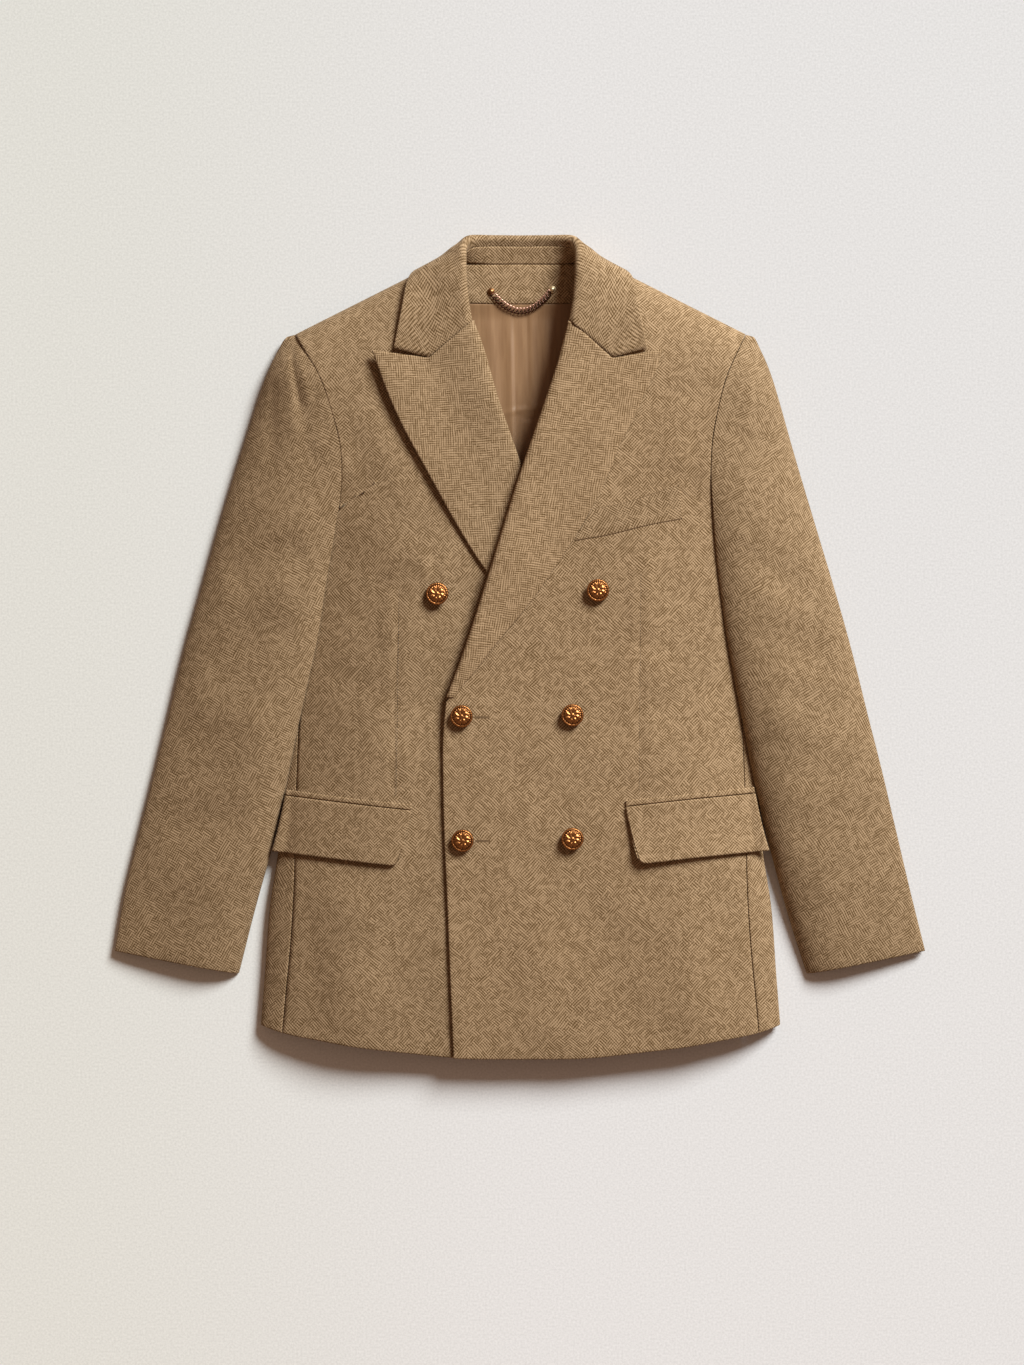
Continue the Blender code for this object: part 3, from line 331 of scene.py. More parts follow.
def between(low, high, share):
    """The value at a share of the way from low to high."""
    return low + (high - low) * share


def grid(x, y, z):
    """Points of a grid from their coordinates, which may be rows, columns or single numbers."""
    return np.stack(np.broadcast_arrays(x, y, z), axis=-1).astype(float)


def shoulder_depth(x, y):
    """Distance in from the shoulder line, square to it."""
    out, top = SHOULDER_NECK
    line_y = top + SHOULDER_SLOPE * (np.abs(x) - out)
    return (line_y - y) / math.hypot(1, SHOULDER_SLOPE)


def soft_folds(folds, x, y):
    """Sum of the folds: each is a bell across its line and fades out past its ends."""
    total = 0.0
    for x0, y0, x1, y1, width, height in zip(
            folds["x0"], folds["y0"], folds["x1"], folds["y1"], folds["width"], folds["height"]):
        length = math.hypot(x1 - x0, y1 - y0)
        along = ((x - x0) * (x1 - x0) + (y - y0) * (y1 - y0)) / length ** 2
        across = ((x - x0) * (y1 - y0) - (y - y0) * (x1 - x0)) / length
        past = np.abs(along - 0.5) - 0.5
        fade = 1 - ease(past / FOLD_FADE + 0.5)
        total = total + height * np.exp(-(across / width) ** 2) * fade
    return total


def unevenness(x, y):
    """Sum of slow waves: height times the sine of the way along each wave's direction."""
    angle = np.radians(WAVES["angle"])
    way = x[..., None] * np.cos(angle) + y[..., None] * np.sin(angle)
    turn = way * math.tau / WAVES["length"] + WAVES["shift"]
    return (WAVES["height"] * np.sin(turn)).sum(axis=-1)


def upper_sheet(x, y):
    """Middle of the body's upper sheet, which rises from the side folds and the shoulders."""
    x, y = np.broadcast_arrays(np.asarray(x, float), np.asarray(y, float))
    side = curve(BODY, "side", y)
    share = rounding(side - np.abs(x), curve(BODY, "reach", y), curve(BODY, "power", y))
    share = share * rounding(shoulder_depth(x, y), SHOULDER_REACH, 2)
    folds = soft_folds(CREASES, x, y) + unevenness(x, y) + soft_folds(DARTS, x, y)
    return FOLD_LEVEL + (curve(BODY, "crown", y) - FOLD_LEVEL + folds) * share


def lower_sheet(x, y):
    """Middle of the back: on the surface, but it rises over the collar's leaf and at the shoulder."""
    start_y, rise_y, half, rise_x = NECK_RISE
    at_neck = ease((y - start_y) / rise_y) * ease((half - np.abs(x)) / rise_x)
    at_shoulder = 1 - rounding(shoulder_depth(x, y), SHOULDER_ROUND, 2)
    return FLOOR_LEVEL + SHOULDER_BACK_RISE * np.maximum(at_neck, at_shoulder)


def front_line(y):
    """x of the overlapping front's edge and roll line."""
    return np.where(y < BREAK_Y, -curve(EDGE, "out", y), curve(ROLL_OVER, "x", y))


def under_front(x, y):
    """The right front sinks where the left one and its lapel lie over it.

    It sinks more beside the lapel than below it, and no longer near the neck.
    """
    sink = between(SINK_LOW, SINK_HIGH, ease((y - SINK_GROWS_Y) / SINK_CHANGE))
    sink = sink * (1 - ease((y - SINK_ENDS_Y) / SINK_CHANGE))
    return upper_sheet(x, y) - sink * ease((x - front_line(y) + SINK_WIDTH) / SINK_WIDTH)


def front_height(side):
    """The height function of a side's front."""
    return upper_sheet if side == LEFT else under_front


def over_body_side(x, y):
    """A sheet that lies on the surface and climbs over the body's side fold."""
    depth = curve(BODY, "side", y) - np.abs(x)
    on_body = upper_sheet(x, y) + SLEEVE_LAYER
    return FLOOR_LEVEL + (on_body - FLOOR_LEVEL) * ease((depth + SIDE_CLIMB) / SIDE_CLIMB)


# ================================================================ grids of points
def cells_and_shares(points, steps):
    """For evenly spread new rows: the old row below each, and the share of the way to the next."""
    at = np.linspace(0, len(points) - 1, steps)
    cell = np.clip(at.astype(int), 0, len(points) - 2)
    return cell, (at - cell).reshape((-1,) + (1,) * (points.ndim - 1))


def smooth_through(points, steps):
    """Rows of points with more rows between them, on a smooth line through each."""
    slopes = np.gradient(points, axis=0)
    cell, t = cells_and_shares(points, steps)
    return cubic(points[cell], points[cell + 1], slopes[cell], slopes[cell + 1], t)


def straight_through(points, steps):
    """The same with straight lines from row to row."""
    cell, t = cells_and_shares(points, steps)
    return between(points[cell], points[cell + 1], t)


def finer(points, rows, columns):
    """More rows and columns, on smooth lines through a coarse grid's points."""
    return smooth_through(smooth_through(points, rows).swapaxes(0, 1), columns).swapaxes(0, 1)


def rows_by_edge(points, near, far):
    """Extra rows at 15, 45 and 80% of a lip's width from the first and the last row."""

    def lip(edge, inner, width):
        reach = np.maximum(np.linalg.norm(inner - edge, axis=-1, keepdims=True), 1e-6)
        shares = [np.minimum(width * share / reach, share) for share in (0.15, 0.45, 0.8)]
        return [edge + (inner - edge) * share for share in shares]

    head = lip(points[0], points[1], near) if near else []
    tail = lip(points[-1], points[-2], far)[::-1] if far else []
    return np.stack([points[0], *head, *points[1:-1], *tail, points[-1]])


def steps_from_first(points):
    """Way along each column from the first row."""
    step = np.linalg.norm(np.diff(points, axis=0), axis=-1)
    return np.concatenate([np.zeros((1,) + step.shape[1:]), np.cumsum(step, axis=0)])


def lip_share(points, lips):
    """0 at an open edge and 1 at a lip's width in from it."""
    share = np.ones(points.shape[:2])
    for axis, (near, far) in enumerate((lips[:2], lips[2:])):
        way = steps_from_first(points.swapaxes(0, axis))
        for width, distance in ((near, way), (far, way[-1] - way)):
            if width:
                share = np.minimum(share, np.clip(distance / width, 0, 1).swapaxes(0, axis))
    return share


def flat_cut(points):
    """Each point's place on the flat cloth: x and y, corrected by the way over its slopes."""
    out = []
    for component in (0, 1):
        mean_step = [np.abs(np.diff(points[..., component], axis=axis)).mean() for axis in (0, 1)]
        axis = int(np.argmax(mean_step))
        turned = points.swapaxes(0, axis)
        step = np.diff(turned, axis=0)
        way = np.hypot(step[..., component], step[..., 2]) * np.sign(step[..., component].mean())
        middle = len(turned) // 2
        along = np.concatenate([np.zeros((1,) + way.shape[1:]), np.cumsum(way, axis=0)])
        along = along - along[middle] + turned[middle, :, component]
        out.append(along.swapaxes(0, axis))
    return np.stack(out, axis=-1)


def collar_cut(base):
    """The same for a strip round the neck, laid flat outwards from its column `base`.

    A point's place is the base column's, plus its way over the cloth from there along the
    direction in which its row runs, seen from above.
    """

    def places(points):
        way = steps_from_first(points.swapaxes(0, 1)).swapaxes(0, 1)
        way = way - way[:, base:base + 1]
        run = points[:, -1, :2] - points[:, base, :2]
        run = run / np.linalg.norm(run, axis=-1, keepdims=True)
        return points[:, base:base + 1, :2] + run[:, None] * way[..., None]
    return places


# ================================================================ meshes
def solid(name, vertices, faces, material, nodes=(), cut=None, values=None):
    """A piece from points in millimetres, with flat places as UV map and a number for each point."""
    mesh = bpy.data.meshes.new(name)
    faces = np.asarray(faces)
    sides = faces.shape[1]
    mesh.vertices.add(len(vertices))
    mesh.vertices.foreach_set("co", (np.asarray(vertices, float) * MM).ravel())
    mesh.loops.add(faces.size)
    mesh.loops.foreach_set("vertex_index", faces.ravel())
    mesh.polygons.add(len(faces))
    mesh.polygons.foreach_set("loop_start", np.arange(len(faces)) * sides)
    mesh.update(calc_edges=True)
    mesh.polygons.foreach_set("use_smooth", np.ones(len(faces), bool))
    if cut is not None:
        layer = mesh.uv_layers.new(name="cut")
        layer.data.foreach_set("uv", (cut[faces.ravel()] * UV_PER_MM).ravel())
    for key, numbers in (values or {}).items():
        attribute = mesh.attributes.new(key, "FLOAT", "POINT")
        attribute.data.foreach_set("value", np.asarray(numbers, np.float32))
    mesh.materials.append(material)
    mesh.validate()
    piece = bpy.data.objects.new(name, mesh)
    bpy.context.scene.collection.objects.link(piece)
    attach(piece, "root")
    if nodes:
        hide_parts(*nodes)
    return piece


def ring_faces(rings, sides, looped=False):
    """Quads from ring to ring of points, each ring closed; looped joins the last to the first."""
    index = np.arange(rings * sides).reshape(rings, sides)
    after = np.roll(index, -1, axis=1)
    faces = np.stack([index, after, np.roll(after, -1, axis=0), np.roll(index, -1, axis=0)], axis=-1)
    return (faces if looped else faces[:-1]).reshape(-1, 4)


def copies(faces, count, points_each):
    """The same faces for each of many copies, whose points follow each other."""
    return ((np.arange(count) * points_each)[:, None, None] + faces[None]).reshape(-1, 4)


# every cloth piece with its nodes and measures, in the order in which they are made
SHEETS = []
NARROWEST_CUT = 10


def declare_sheets(front_trim):
    """Works out the flat cut of every cloth piece, its longest width and length along the cloth and its
    area, and keeps none of it.
    """
    for piece, nodes, wide, long, area in SHEETS:
        flat = (max(wide, NARROWEST_CUT) / 1000, max(long, NARROWEST_CUT) / 1000)
        min(area / 1e6, flat[0] * flat[1])
        front_trim if nodes == ["front_over"] else ()


def measure_cut(points, quads):
    """Longest row and column of a sheet, along the cloth, and the sum of its faces' areas."""
    corners = points.reshape(-1, 3)[quads]
    twice = np.cross(corners[:, 2] - corners[:, 0], corners[:, 3] - corners[:, 1])
    area = np.linalg.norm(twice, axis=1).sum() / 2
    wide = np.linalg.norm(np.diff(points, axis=1), axis=-1).sum(axis=1).max()
    long = np.linalg.norm(np.diff(points, axis=0), axis=-1).sum(axis=0).max()
    return wide, long, area


def sewn(name, points, half, material, nodes, lips, keep=None, cut=flat_cut):
    """Closed cloth round a grid of middle points.

    Upper and lower surface are the middle plus and minus the half thickness along the normal,
    and the half thickness falls off as a quarter circle over a lip at each open edge.
    """
    if keep is None:
        points = rows_by_edge(points, *lips[:2])
        points = rows_by_edge(points.swapaxes(0, 1), *lips[2:]).swapaxes(0, 1)
    across = np.gradient(points, axis=1)
    along = np.gradient(points, axis=0)
    normal = np.cross(across, along)
    normal = normal / np.maximum(np.linalg.norm(normal, axis=-1, keepdims=True), 1e-9)
    share = lip_share(points, lips)
    thick = half * np.maximum(THINNEST_EDGE, np.sqrt(1 - (1 - share) ** 2))
    rows, columns = points.shape[:2]
    count = rows * columns
    index = np.arange(count).reshape(rows, columns)
    quads = np.stack([index[:-1, :-1], index[:-1, 1:], index[1:, 1:], index[1:, :-1]], axis=-1)
    quads = quads.reshape(-1, 4) if keep is None else quads[keep]
    first = quads.ravel()
    second = np.roll(quads, -1, axis=1).ravel()
    lone = ~np.isin(first * count + second, second * count + first)
    first, second = first[lone], second[lone]
    walls = np.stack([second, first, first + count, second + count], axis=-1)
    faces = np.concatenate([quads, quads[:, ::-1] + count, walls])
    upper = points + normal * thick[..., None]
    lower = points - normal * thick[..., None]
    vertices = np.concatenate([upper.reshape(-1, 3), lower.reshape(-1, 3)])
    vertices[:, 2] = np.maximum(vertices[:, 2], LOWEST)
    places = np.tile(cut(points).reshape(-1, 2), (2, 1))
    piece = solid(name, vertices, faces, material, nodes, places)
    SHEETS.append((piece, nodes, *measure_cut(points, quads)))
    return piece


def beads(name, centres, directions, length, radius, material, squash=0.7):
    """Many small rounded pellets, each a lens along its own direction: stitches and threads."""
    centres = np.asarray(centres, float)
    ahead = np.asarray(directions, float)
    ahead = ahead / np.linalg.norm(ahead, axis=-1, keepdims=True)
    side = np.cross([0, 0, 1.0], ahead)
    side = side / np.linalg.norm(side, axis=-1, keepdims=True)
    above = np.cross(ahead, side)
    rings, sides = 5, 6
    polar = np.linspace(0, math.pi, rings)[:, None]
    around = (np.arange(sides) * math.tau / sides)[None, :]
    forward = (-np.cos(polar) * length / 2 + 0 * around)[None, ..., None]
    width = (np.sin(polar) ** 0.7 * np.cos(around) * radius)[None, ..., None]
    height = (np.sin(polar) ** 0.7 * np.sin(around) * radius * squash)[None, ..., None]
    points = (centres[:, None, None] + forward * ahead[:, None, None]
              + width * side[:, None, None] + height * above[:, None, None])
    faces = copies(ring_faces(rings, sides), len(centres), rings * sides)[:, ::-1]
    return solid(name, points.reshape(-1, 3), faces, material)


# ================================================================ shader recipes
class Link:
    """A number or colour carried by a node; + - * / on numbers add Math nodes."""

    def __init__(self, recipe, socket):
        self.recipe = recipe
        self.socket = socket

    def maths(self, operation, *values):
        """The result of a Math node on this and other numbers."""
        return self.recipe.node("ShaderNodeMath", {"operation": operation}, dict(enumerate(values)))

    def __add__(self, other):
        return self.maths("ADD", self, other)

    def __sub__(self, other):
        return self.maths("SUBTRACT", self, other)

    def __rsub__(self, other):
        return self.maths("SUBTRACT", other, self)

    def __mul__(self, other):
        return self.maths("MULTIPLY", self, other)

    def __truediv__(self, other):
        return self.maths("DIVIDE", self, other)

    __radd__ = __add__
    __rmul__ = __mul__

    def floor(self):
        return self.maths("FLOOR", self)

    def fract(self):
        return self.maths("FRACT", self)

    def cosine(self):
        return self.maths("COSINE", self)

    def power(self, exponent):
        return self.maths("POWER", self, exponent)

    def least(self, limit):
        return self.maths("MINIMUM", self, limit)

    def over(self, limit):
        return self.maths("GREATER_THAN", self, limit)

    def stepped(self, low, high):
        """0 below low, 1 above high, smooth between."""
        return self.recipe.node("ShaderNodeMapRange", {"interpolation_type": "SMOOTHSTEP"},
                                {0: self, 1: low, 2: high, 3: 0.0, 4: 1.0})


class Recipe:
    """A material's node tree. node() makes any node: its type, its settings, its inputs."""

    def __init__(self, name):
        self.material = bpy.data.materials.new(name)
        self.material.use_nodes = True
        self.tree = self.material.node_tree
        self.shader = self.tree.nodes["Principled BSDF"]

    def node(self, kind, settings=None, values=None, output=0):
        made = self.tree.nodes.new(kind)
        for key, setting in (settings or {}).items():
            setattr(made, key, setting)
        for key, value in (values or {}).items():
            self.give(made.inputs[key], value)
        return Link(self, made.outputs[output])

    def give(self, socket, value):
        """A link, a colour or a number for a socket."""
        if isinstance(value, Link):
            self.tree.links.new(value.socket, socket)
        elif isinstance(value, tuple) and len(value) == 3 and socket.type == "RGBA":
            socket.default_value = (*value, 1)
        else:
            socket.default_value = value

    def constants(self, **values):
        """Fixed values of the shader's own inputs, with _ for the space in a name."""
        for key, value in values.items():
            self.give(self.shader.inputs[key.replace("_", " ")], value)

    def blend(self, share, first, second):
        """A share of the way from the first colour to the second."""
        return self.node("ShaderNodeMix", {"data_type": "RGBA"}, {0: share, 6: first, 7: second}, 2)

    def tinted(self, colour, factor):
        """A colour times a number."""
        grey = self.node("ShaderNodeCombineColor", {}, {0: factor, 1: factor, 2: factor})
        return self.node("ShaderNodeMix", {"data_type": "RGBA", "blend_type": "MULTIPLY"},
                         {0: 1.0, 6: colour, 7: grey}, 2)

    def attribute(self, name):
        """The number that a mesh carries for each point."""
        return self.node("ShaderNodeAttribute", {"attribute_name": name}, {}, 2)

    def cut_place(self):
        """Place on the flat cloth in millimetres, along its two directions."""
        place = self.node("ShaderNodeUVMap", {"uv_map": "cut"})
        parts = self.tree.nodes.new("ShaderNodeSeparateXYZ")
        self.tree.links.new(place.socket, parts.inputs[0])
        return tuple(Link(self, output) * (1 / UV_PER_MM) for output in parts.outputs[:2])

    def object_place(self):
        """Place in the object's own metres."""
        return self.node("ShaderNodeTexCoord", {}, {}, 3)

    def at(self, u, v, w=0.0):
        """A place from its coordinates."""
        return self.node("ShaderNodeCombineXYZ", {}, {0: u, 1: v, 2: w})

    def noise(self, place, scale, detail=2.0):
        """Smooth noise from 0 to 1, about 0.5 on average."""
        return self.node("ShaderNodeTexNoise", {}, {"Vector": place, "Scale": scale, "Detail": detail})

    def chance(self, u, v):
        """An even random number from 0 to 1 for each pair of whole numbers."""
        return self.node("ShaderNodeTexWhiteNoise", {"noise_dimensions": "3D"}, {"Vector": self.at(u, v)})

    def bump(self, height, depth_mm, strength):
        """Fine relief: height times a depth in millimetres."""
        inputs = {"Height": height, "Distance": depth_mm * MM, "Strength": strength}
        made = self.node("ShaderNodeBump", {}, inputs)
        self.tree.links.new(made.socket, self.shader.inputs["Normal"])

    def base_colour(self, colour):
        """What the material's colour is over the surface."""
        self.give(self.shader.inputs["Base Color"], colour)


DARK_YARN = (0.0975, 0.0482, 0.0122)
LIGHT_YARN = (0.466, 0.309, 0.178)
# noise per millimetre and its reach in millimetres: slow bends, smaller ones, ragged borders
BEND = (0.022, 6.0)
SWAY = (0.12, 1.0)
RAGGED = (0.30, 9.0)
YARN_RUN = 4.6
TURNED_BACK = 0.20


def wool(name, turn, block=6.9, pitch=2.05, contrast=1.0, painted_shading=1.0):
    """Two-tone wool: ragged blocks of short parallel strokes, each block across its neighbour.

    A stroke is a cosine across the block's own direction, with fainter strokes across it. A
    block's parity sets its direction, and chance turns some back. Noise bends the net, makes the
    blocks' borders ragged, and lets strokes fade and strengthen. Chance makes runs of each yarn
    darker or lighter, and fine noise flecks them.
    """
    recipe = Recipe(name)
    u, v = recipe.cut_place()

    def drift(depth, scale, reach):
        """Smooth noise round 0, its own for each depth."""
        return (recipe.noise(recipe.at(u, v, depth), scale, 1.0) - 0.5) * reach

    angle = math.radians(turn)
    along = u * math.cos(angle) + v * math.sin(angle) + drift(0.0, *BEND) + drift(100.0, *SWAY)
    across = v * math.cos(angle) - u * math.sin(angle) + drift(60.0, *BEND) + drift(120.0, *SWAY)
    cell_a = ((along + drift(20.0, *RAGGED)) / block).floor()
    cell_b = ((across + drift(40.0, *RAGGED)) / block).floor()
    parity = ((cell_a + cell_b) * 0.5).fract() * 2.0
    odd = recipe.chance(cell_a, cell_b).over(1 - TURNED_BACK)
    way = parity + odd - parity * odd * 2.0
    over_strokes = across * (1.0 - way) + along * way
    with_strokes = along * (1.0 - way) + across * way
    stroke = (over_strokes * (math.tau / pitch)).cosine()
    crossing = (with_strokes * (math.tau / pitch)).cosine()
    strand = (over_strokes / pitch + 0.5).floor()
    run = (with_strokes / YARN_RUN + strand * 0.37).floor() + way * 37.0
    yarn = recipe.chance(strand, run) - 0.5
    fleck = recipe.noise(recipe.at(u, v), 1.2, 2.0) - 0.5
    worn = 0.85 + drift(80.0, 0.16, 2.0)
    light = 0.5 + (stroke * worn * 0.33 + crossing * 0.13 + yarn * 0.32 + fleck * 0.52) * contrast
    colour = recipe.blend(light.stepped(0.0, 1.0), DARK_YARN, LIGHT_YARN)
    patches = drift(3.0, 0.014, 0.12)
    # The colour is scaled by slow random patches and by the tone factor. That factor is painted light and
    # shade: it lightens or darkens a whole piece as the lamp would.
    recipe.base_colour(recipe.tinted(colour, (1.0 + patches) * painted_shading))
    recipe.bump(stroke * 0.35 + fleck * 0.4, 0.30, 0.7)
    recipe.constants(Roughness=0.9, Specular_IOR_Level=0.15, Sheen_Weight=0.06, Sheen_Roughness=0.5,
                     Sheen_Tint=(1.0, 0.8, 0.58))
    return recipe.material


def satin(name):
    """Copper-brown satin: fine upright threads and slow streaks that lighten and darken it."""
    recipe = Recipe(name)
    u, v = recipe.cut_place()
    threads = recipe.noise(recipe.at(u * 9.0, v * 0.25), 1.0, 2.0)
    streaks = recipe.noise(recipe.at(u * 0.22, v * 0.02), 1.0, 2.0)
    colour = recipe.blend(streaks.stepped(0.2, 0.85), (0.256, 0.133, 0.060), (0.345, 0.192, 0.093))
    recipe.base_colour(recipe.tinted(colour, 0.92 + threads * 0.16))
    recipe.bump(threads, 0.04, 0.5)
    recipe.constants(Roughness=0.45, Sheen_Weight=0.1, Sheen_Roughness=0.35, Sheen_Tint=(1.0, 0.8, 0.6))
    return recipe.material


def copper(name, bright=(0.47, 0.192, 0.062), dark=(0.110, 0.036, 0.012)):
    """Copper: bright on what stands up, dark and duller in the hollows. On the buttons and rivets this
    is aged patina; on the chain the links' tops are painted highlight and their lower sides painted
    shade.
    """
    recipe = Recipe(name)
    grain = recipe.noise(recipe.object_place(), 900.0, 3.0)
    raised = (recipe.attribute("raised") + (grain - 0.5) * 0.35).stepped(0.12, 0.68)
    recipe.base_colour(recipe.blend(raised, dark, bright))
    recipe.give(recipe.shader.inputs["Roughness"], 0.55 - raised * 0.18)
    recipe.bump(grain, 0.05, 0.5)
    recipe.constants(Metallic=1.0)
    return recipe.material


def thread(name, colour):
    """Dull sewing thread, lighter and darker along its twist."""
    recipe = Recipe(name)
    twist = recipe.noise(recipe.object_place(), 2500.0, 2.0)
    recipe.base_colour(recipe.tinted(colour, 0.7 + twist * 0.6))
    recipe.bump(twist, 0.05, 0.6)
    recipe.constants(Roughness=0.8)
    return recipe.material


# Each wool's tone factor is painted light and shade. The wearer's left body and lapel are lighter and the
# right ones darker, as the lamp lights the wearer's left from above. Both sleeves are darker, the right
# one most. The stand and neck facing are lighter where their slope lies in shade.
WOOL_BODY = {LEFT: wool("wool_body_left", 47, painted_shading=1.07),
             RIGHT: wool("wool_body_right", 47, painted_shading=0.96)}
WOOL_SLEEVE = {LEFT: wool("wool_sleeve_left", 33, painted_shading=0.955),
               RIGHT: wool("wool_sleeve_right", 59, painted_shading=0.935)}
WOOL_LAPEL = {LEFT: wool("wool_lapel_left", -8, 6.4, contrast=0.8, painted_shading=1.12),
              RIGHT: wool("wool_lapel_right", 4, 6.4, contrast=0.8, painted_shading=0.99)}
WOOL_COLLAR = wool("wool_collar", 47, 7.2)
WOOL_STAND = wool("wool_stand", 47, 7.2, painted_shading=1.1)
WOOL_WELT = wool("wool_welt", 58, contrast=1.1)
SATIN = satin("satin_lining")
COPPER = copper("aged_copper")
# The chain's copper: a pale rosy painted highlight on the wire's tops, and painted shade, nearly black,
# on its lower sides.
CHAIN_COPPER = copper("copper_painted_glints", (0.82, 0.48, 0.36), (0.040, 0.009, 0.005))
# The two rivets are one copper in a lit and a shaded copy: painted highlight on the wearer's left rivet,
# painted shade on the right one.
RIVET_METAL = {"rivet_left": copper("copper_painted_lit", (0.95, 0.78, 0.50), (0.55, 0.40, 0.22)),
               "rivet_right": copper("copper_painted_shaded", (0.33, 0.16, 0.065))}
# The dark thread sews the darts, and the buttonholes' slits are drawn in it too as painted shade.
DARK_THREAD_AND_PAINTED_SHADE = thread("dark_thread_and_painted_shade", (0.07, 0.04, 0.02))
BROWN_THREAD = thread("buttonhole_thread", (0.22, 0.125, 0.055))


# ================================================================ body
def armhole(side, y):
    """The armhole seam's distance from the centre line."""
    return curve(ARMHOLE, SIDE_WORD[side], y)


def back_seam(side, y):
    """The straight seam between back and side panel, up to the armhole."""
    hem_out, hem_y = BACK_SEAM_HEM
    share = (y - hem_y) / (ARMHOLE_LOW - hem_y)
    return between(hem_out, armhole(side, ARMHOLE_LOW), share)


def underarm_y(side, out):
    """The armhole's lowest stretch, which runs out to the side fold."""
    seam_out = armhole(side, ARMHOLE_LOW)
    share = (np.abs(out) - seam_out) / (UNDERARM[0] - seam_out)
    return between(ARMHOLE_LOW, UNDERARM[1], share)


def front_seam(side, y):
    """The seam between front and side panel; at its top it leans to its own place on each side."""
    lean = SEAM_TOP[side] - SIDE_SEAM["out"][-1]
    return curve(SIDE_SEAM, "out", y) + lean * ease((y + 50) / 150)


def front_piece(name, side, nodes):
    """Straight rows from side seam and armhole to the edge, roll line and neckline.

    Below the underarm each row is kept under a ceiling, the line from the seam's top to the
    edge, less a little for each row below it, so that rows never cross.
    """
    low_rows, hole_rows = 118, 46
    seam_y = np.linspace(SEAM_HEM_Y, underarm_y(side, SEAM_TOP[side]), low_rows)
    hole_y = np.linspace(ARMHOLE_LOW, ARMHOLE_TOP, hole_rows)
    outer = np.concatenate([front_seam(side, seam_y), armhole(side, hole_y)]) - SEAM_GAP / 2
    outer_y = np.concatenate([seam_y, hole_y])
    low_share = 1 / 3
    climb = np.linspace(0, 1, low_rows + hole_rows)
    below = between(EDGE_HEM_Y, BREAK_Y, climb / low_share)
    share = (climb - low_share) / (1 - low_share)
    above = between(BREAK_Y, NECK_TOP_Y, share + 0.35 * (share - share ** 2))
    inner_y = np.where(climb < low_share, below, above)
    roll = ROLL_OVER if side == LEFT else ROLL_UNDER
    on_roll = curve(roll, "x", inner_y) * side + ROLL_RADIUS + 0.9
    upper = np.where(inner_y < GORGE_Y, on_roll, curve(NECKLINE, "out", inner_y))
    edge = -curve(EDGE, "out", inner_y) + (0 if side == LEFT else 3)
    inner = between(edge, upper, ease((inner_y - BREAK_Y + 4) / 8))
    across = np.linspace(0, 1, 84)[None, :]
    out = between(outer[:, None], inner[:, None], across)
    y = between(outer_y[:, None], inner_y[:, None], across)
    y = y + (curve(HEM, "y", np.abs(out), "out") - y[0]) * (1 - climb[:, None]) ** 4
    corner = outer[low_rows]
    to_inner = (corner - out) / (corner - inner[low_rows])
    to_edge = between(ARMHOLE_LOW, inner_y[low_rows], to_inner)
    ceiling = np.where(out > corner, underarm_y(side, out), to_edge)
    rows_below = np.arange(low_rows, 0, -1)[:, None]
    y[:low_rows] = np.minimum(y[:low_rows], ceiling[:low_rows] - 0.25 * rows_below)
    x = out * side
    z = front_height(side)(x, y)
    return sewn(name, grid(x, y, z), CLOTH / 2, WOOL_BODY[side], nodes,
                (FOLDED, SEWN, SEWN if side == LEFT else HIDDEN_SEAM, FOLDED))


def back_piece(name, side, nodes):
    """Straight rows from the centre back seam out to the side seam and the armhole.

    The hem and the top are bent to their lines with high powers of the climb.
    """
    seam_y = np.linspace(BACK_SEAM_HEM[1], 100, 7)
    outer = np.concatenate([back_seam(side, seam_y), armhole(side, BACK_HOLE_Y)]) - SEAM_GAP / 2
    outer_y = np.concatenate([seam_y, BACK_HOLE_Y])
    inner_y = np.concatenate([np.linspace(-373, 120, 7), np.linspace(145, NECK_SEAM_Y, 10)])
    rows = smooth_through(np.stack([outer, outer_y, inner_y], axis=-1), 100)
    share = np.linspace(0, 1, 26)[None, :]
    out = between(SEAM_GAP / 2, rows[:, :1], share)
    y = between(rows[:, 2:], rows[:, 1:2], share)
    climb = np.linspace(0, 1, len(rows))[:, None]
    shoulder_y = SHOULDER_NECK[1] + SHOULDER_SLOPE * (out - SHOULDER_NECK[0])
    top_y = np.where(out < 71, between(NECK_SEAM_Y, NECK_TOP_Y, ease((out - 30) / 40)), shoulder_y)
    y = y + (top_y - y[-1:]) * climb ** 6
    y = y + (curve(HEM, "y", out, "out") + 3 - y[:1]) * (1 - climb) ** 4
    x = out * side
    return sewn(name, grid(x, y, lower_sheet(x, y)), CLOTH / 2, WOOL_BODY[side], nodes,
                (FOLDED, SEWN, SEWN, SEWN))


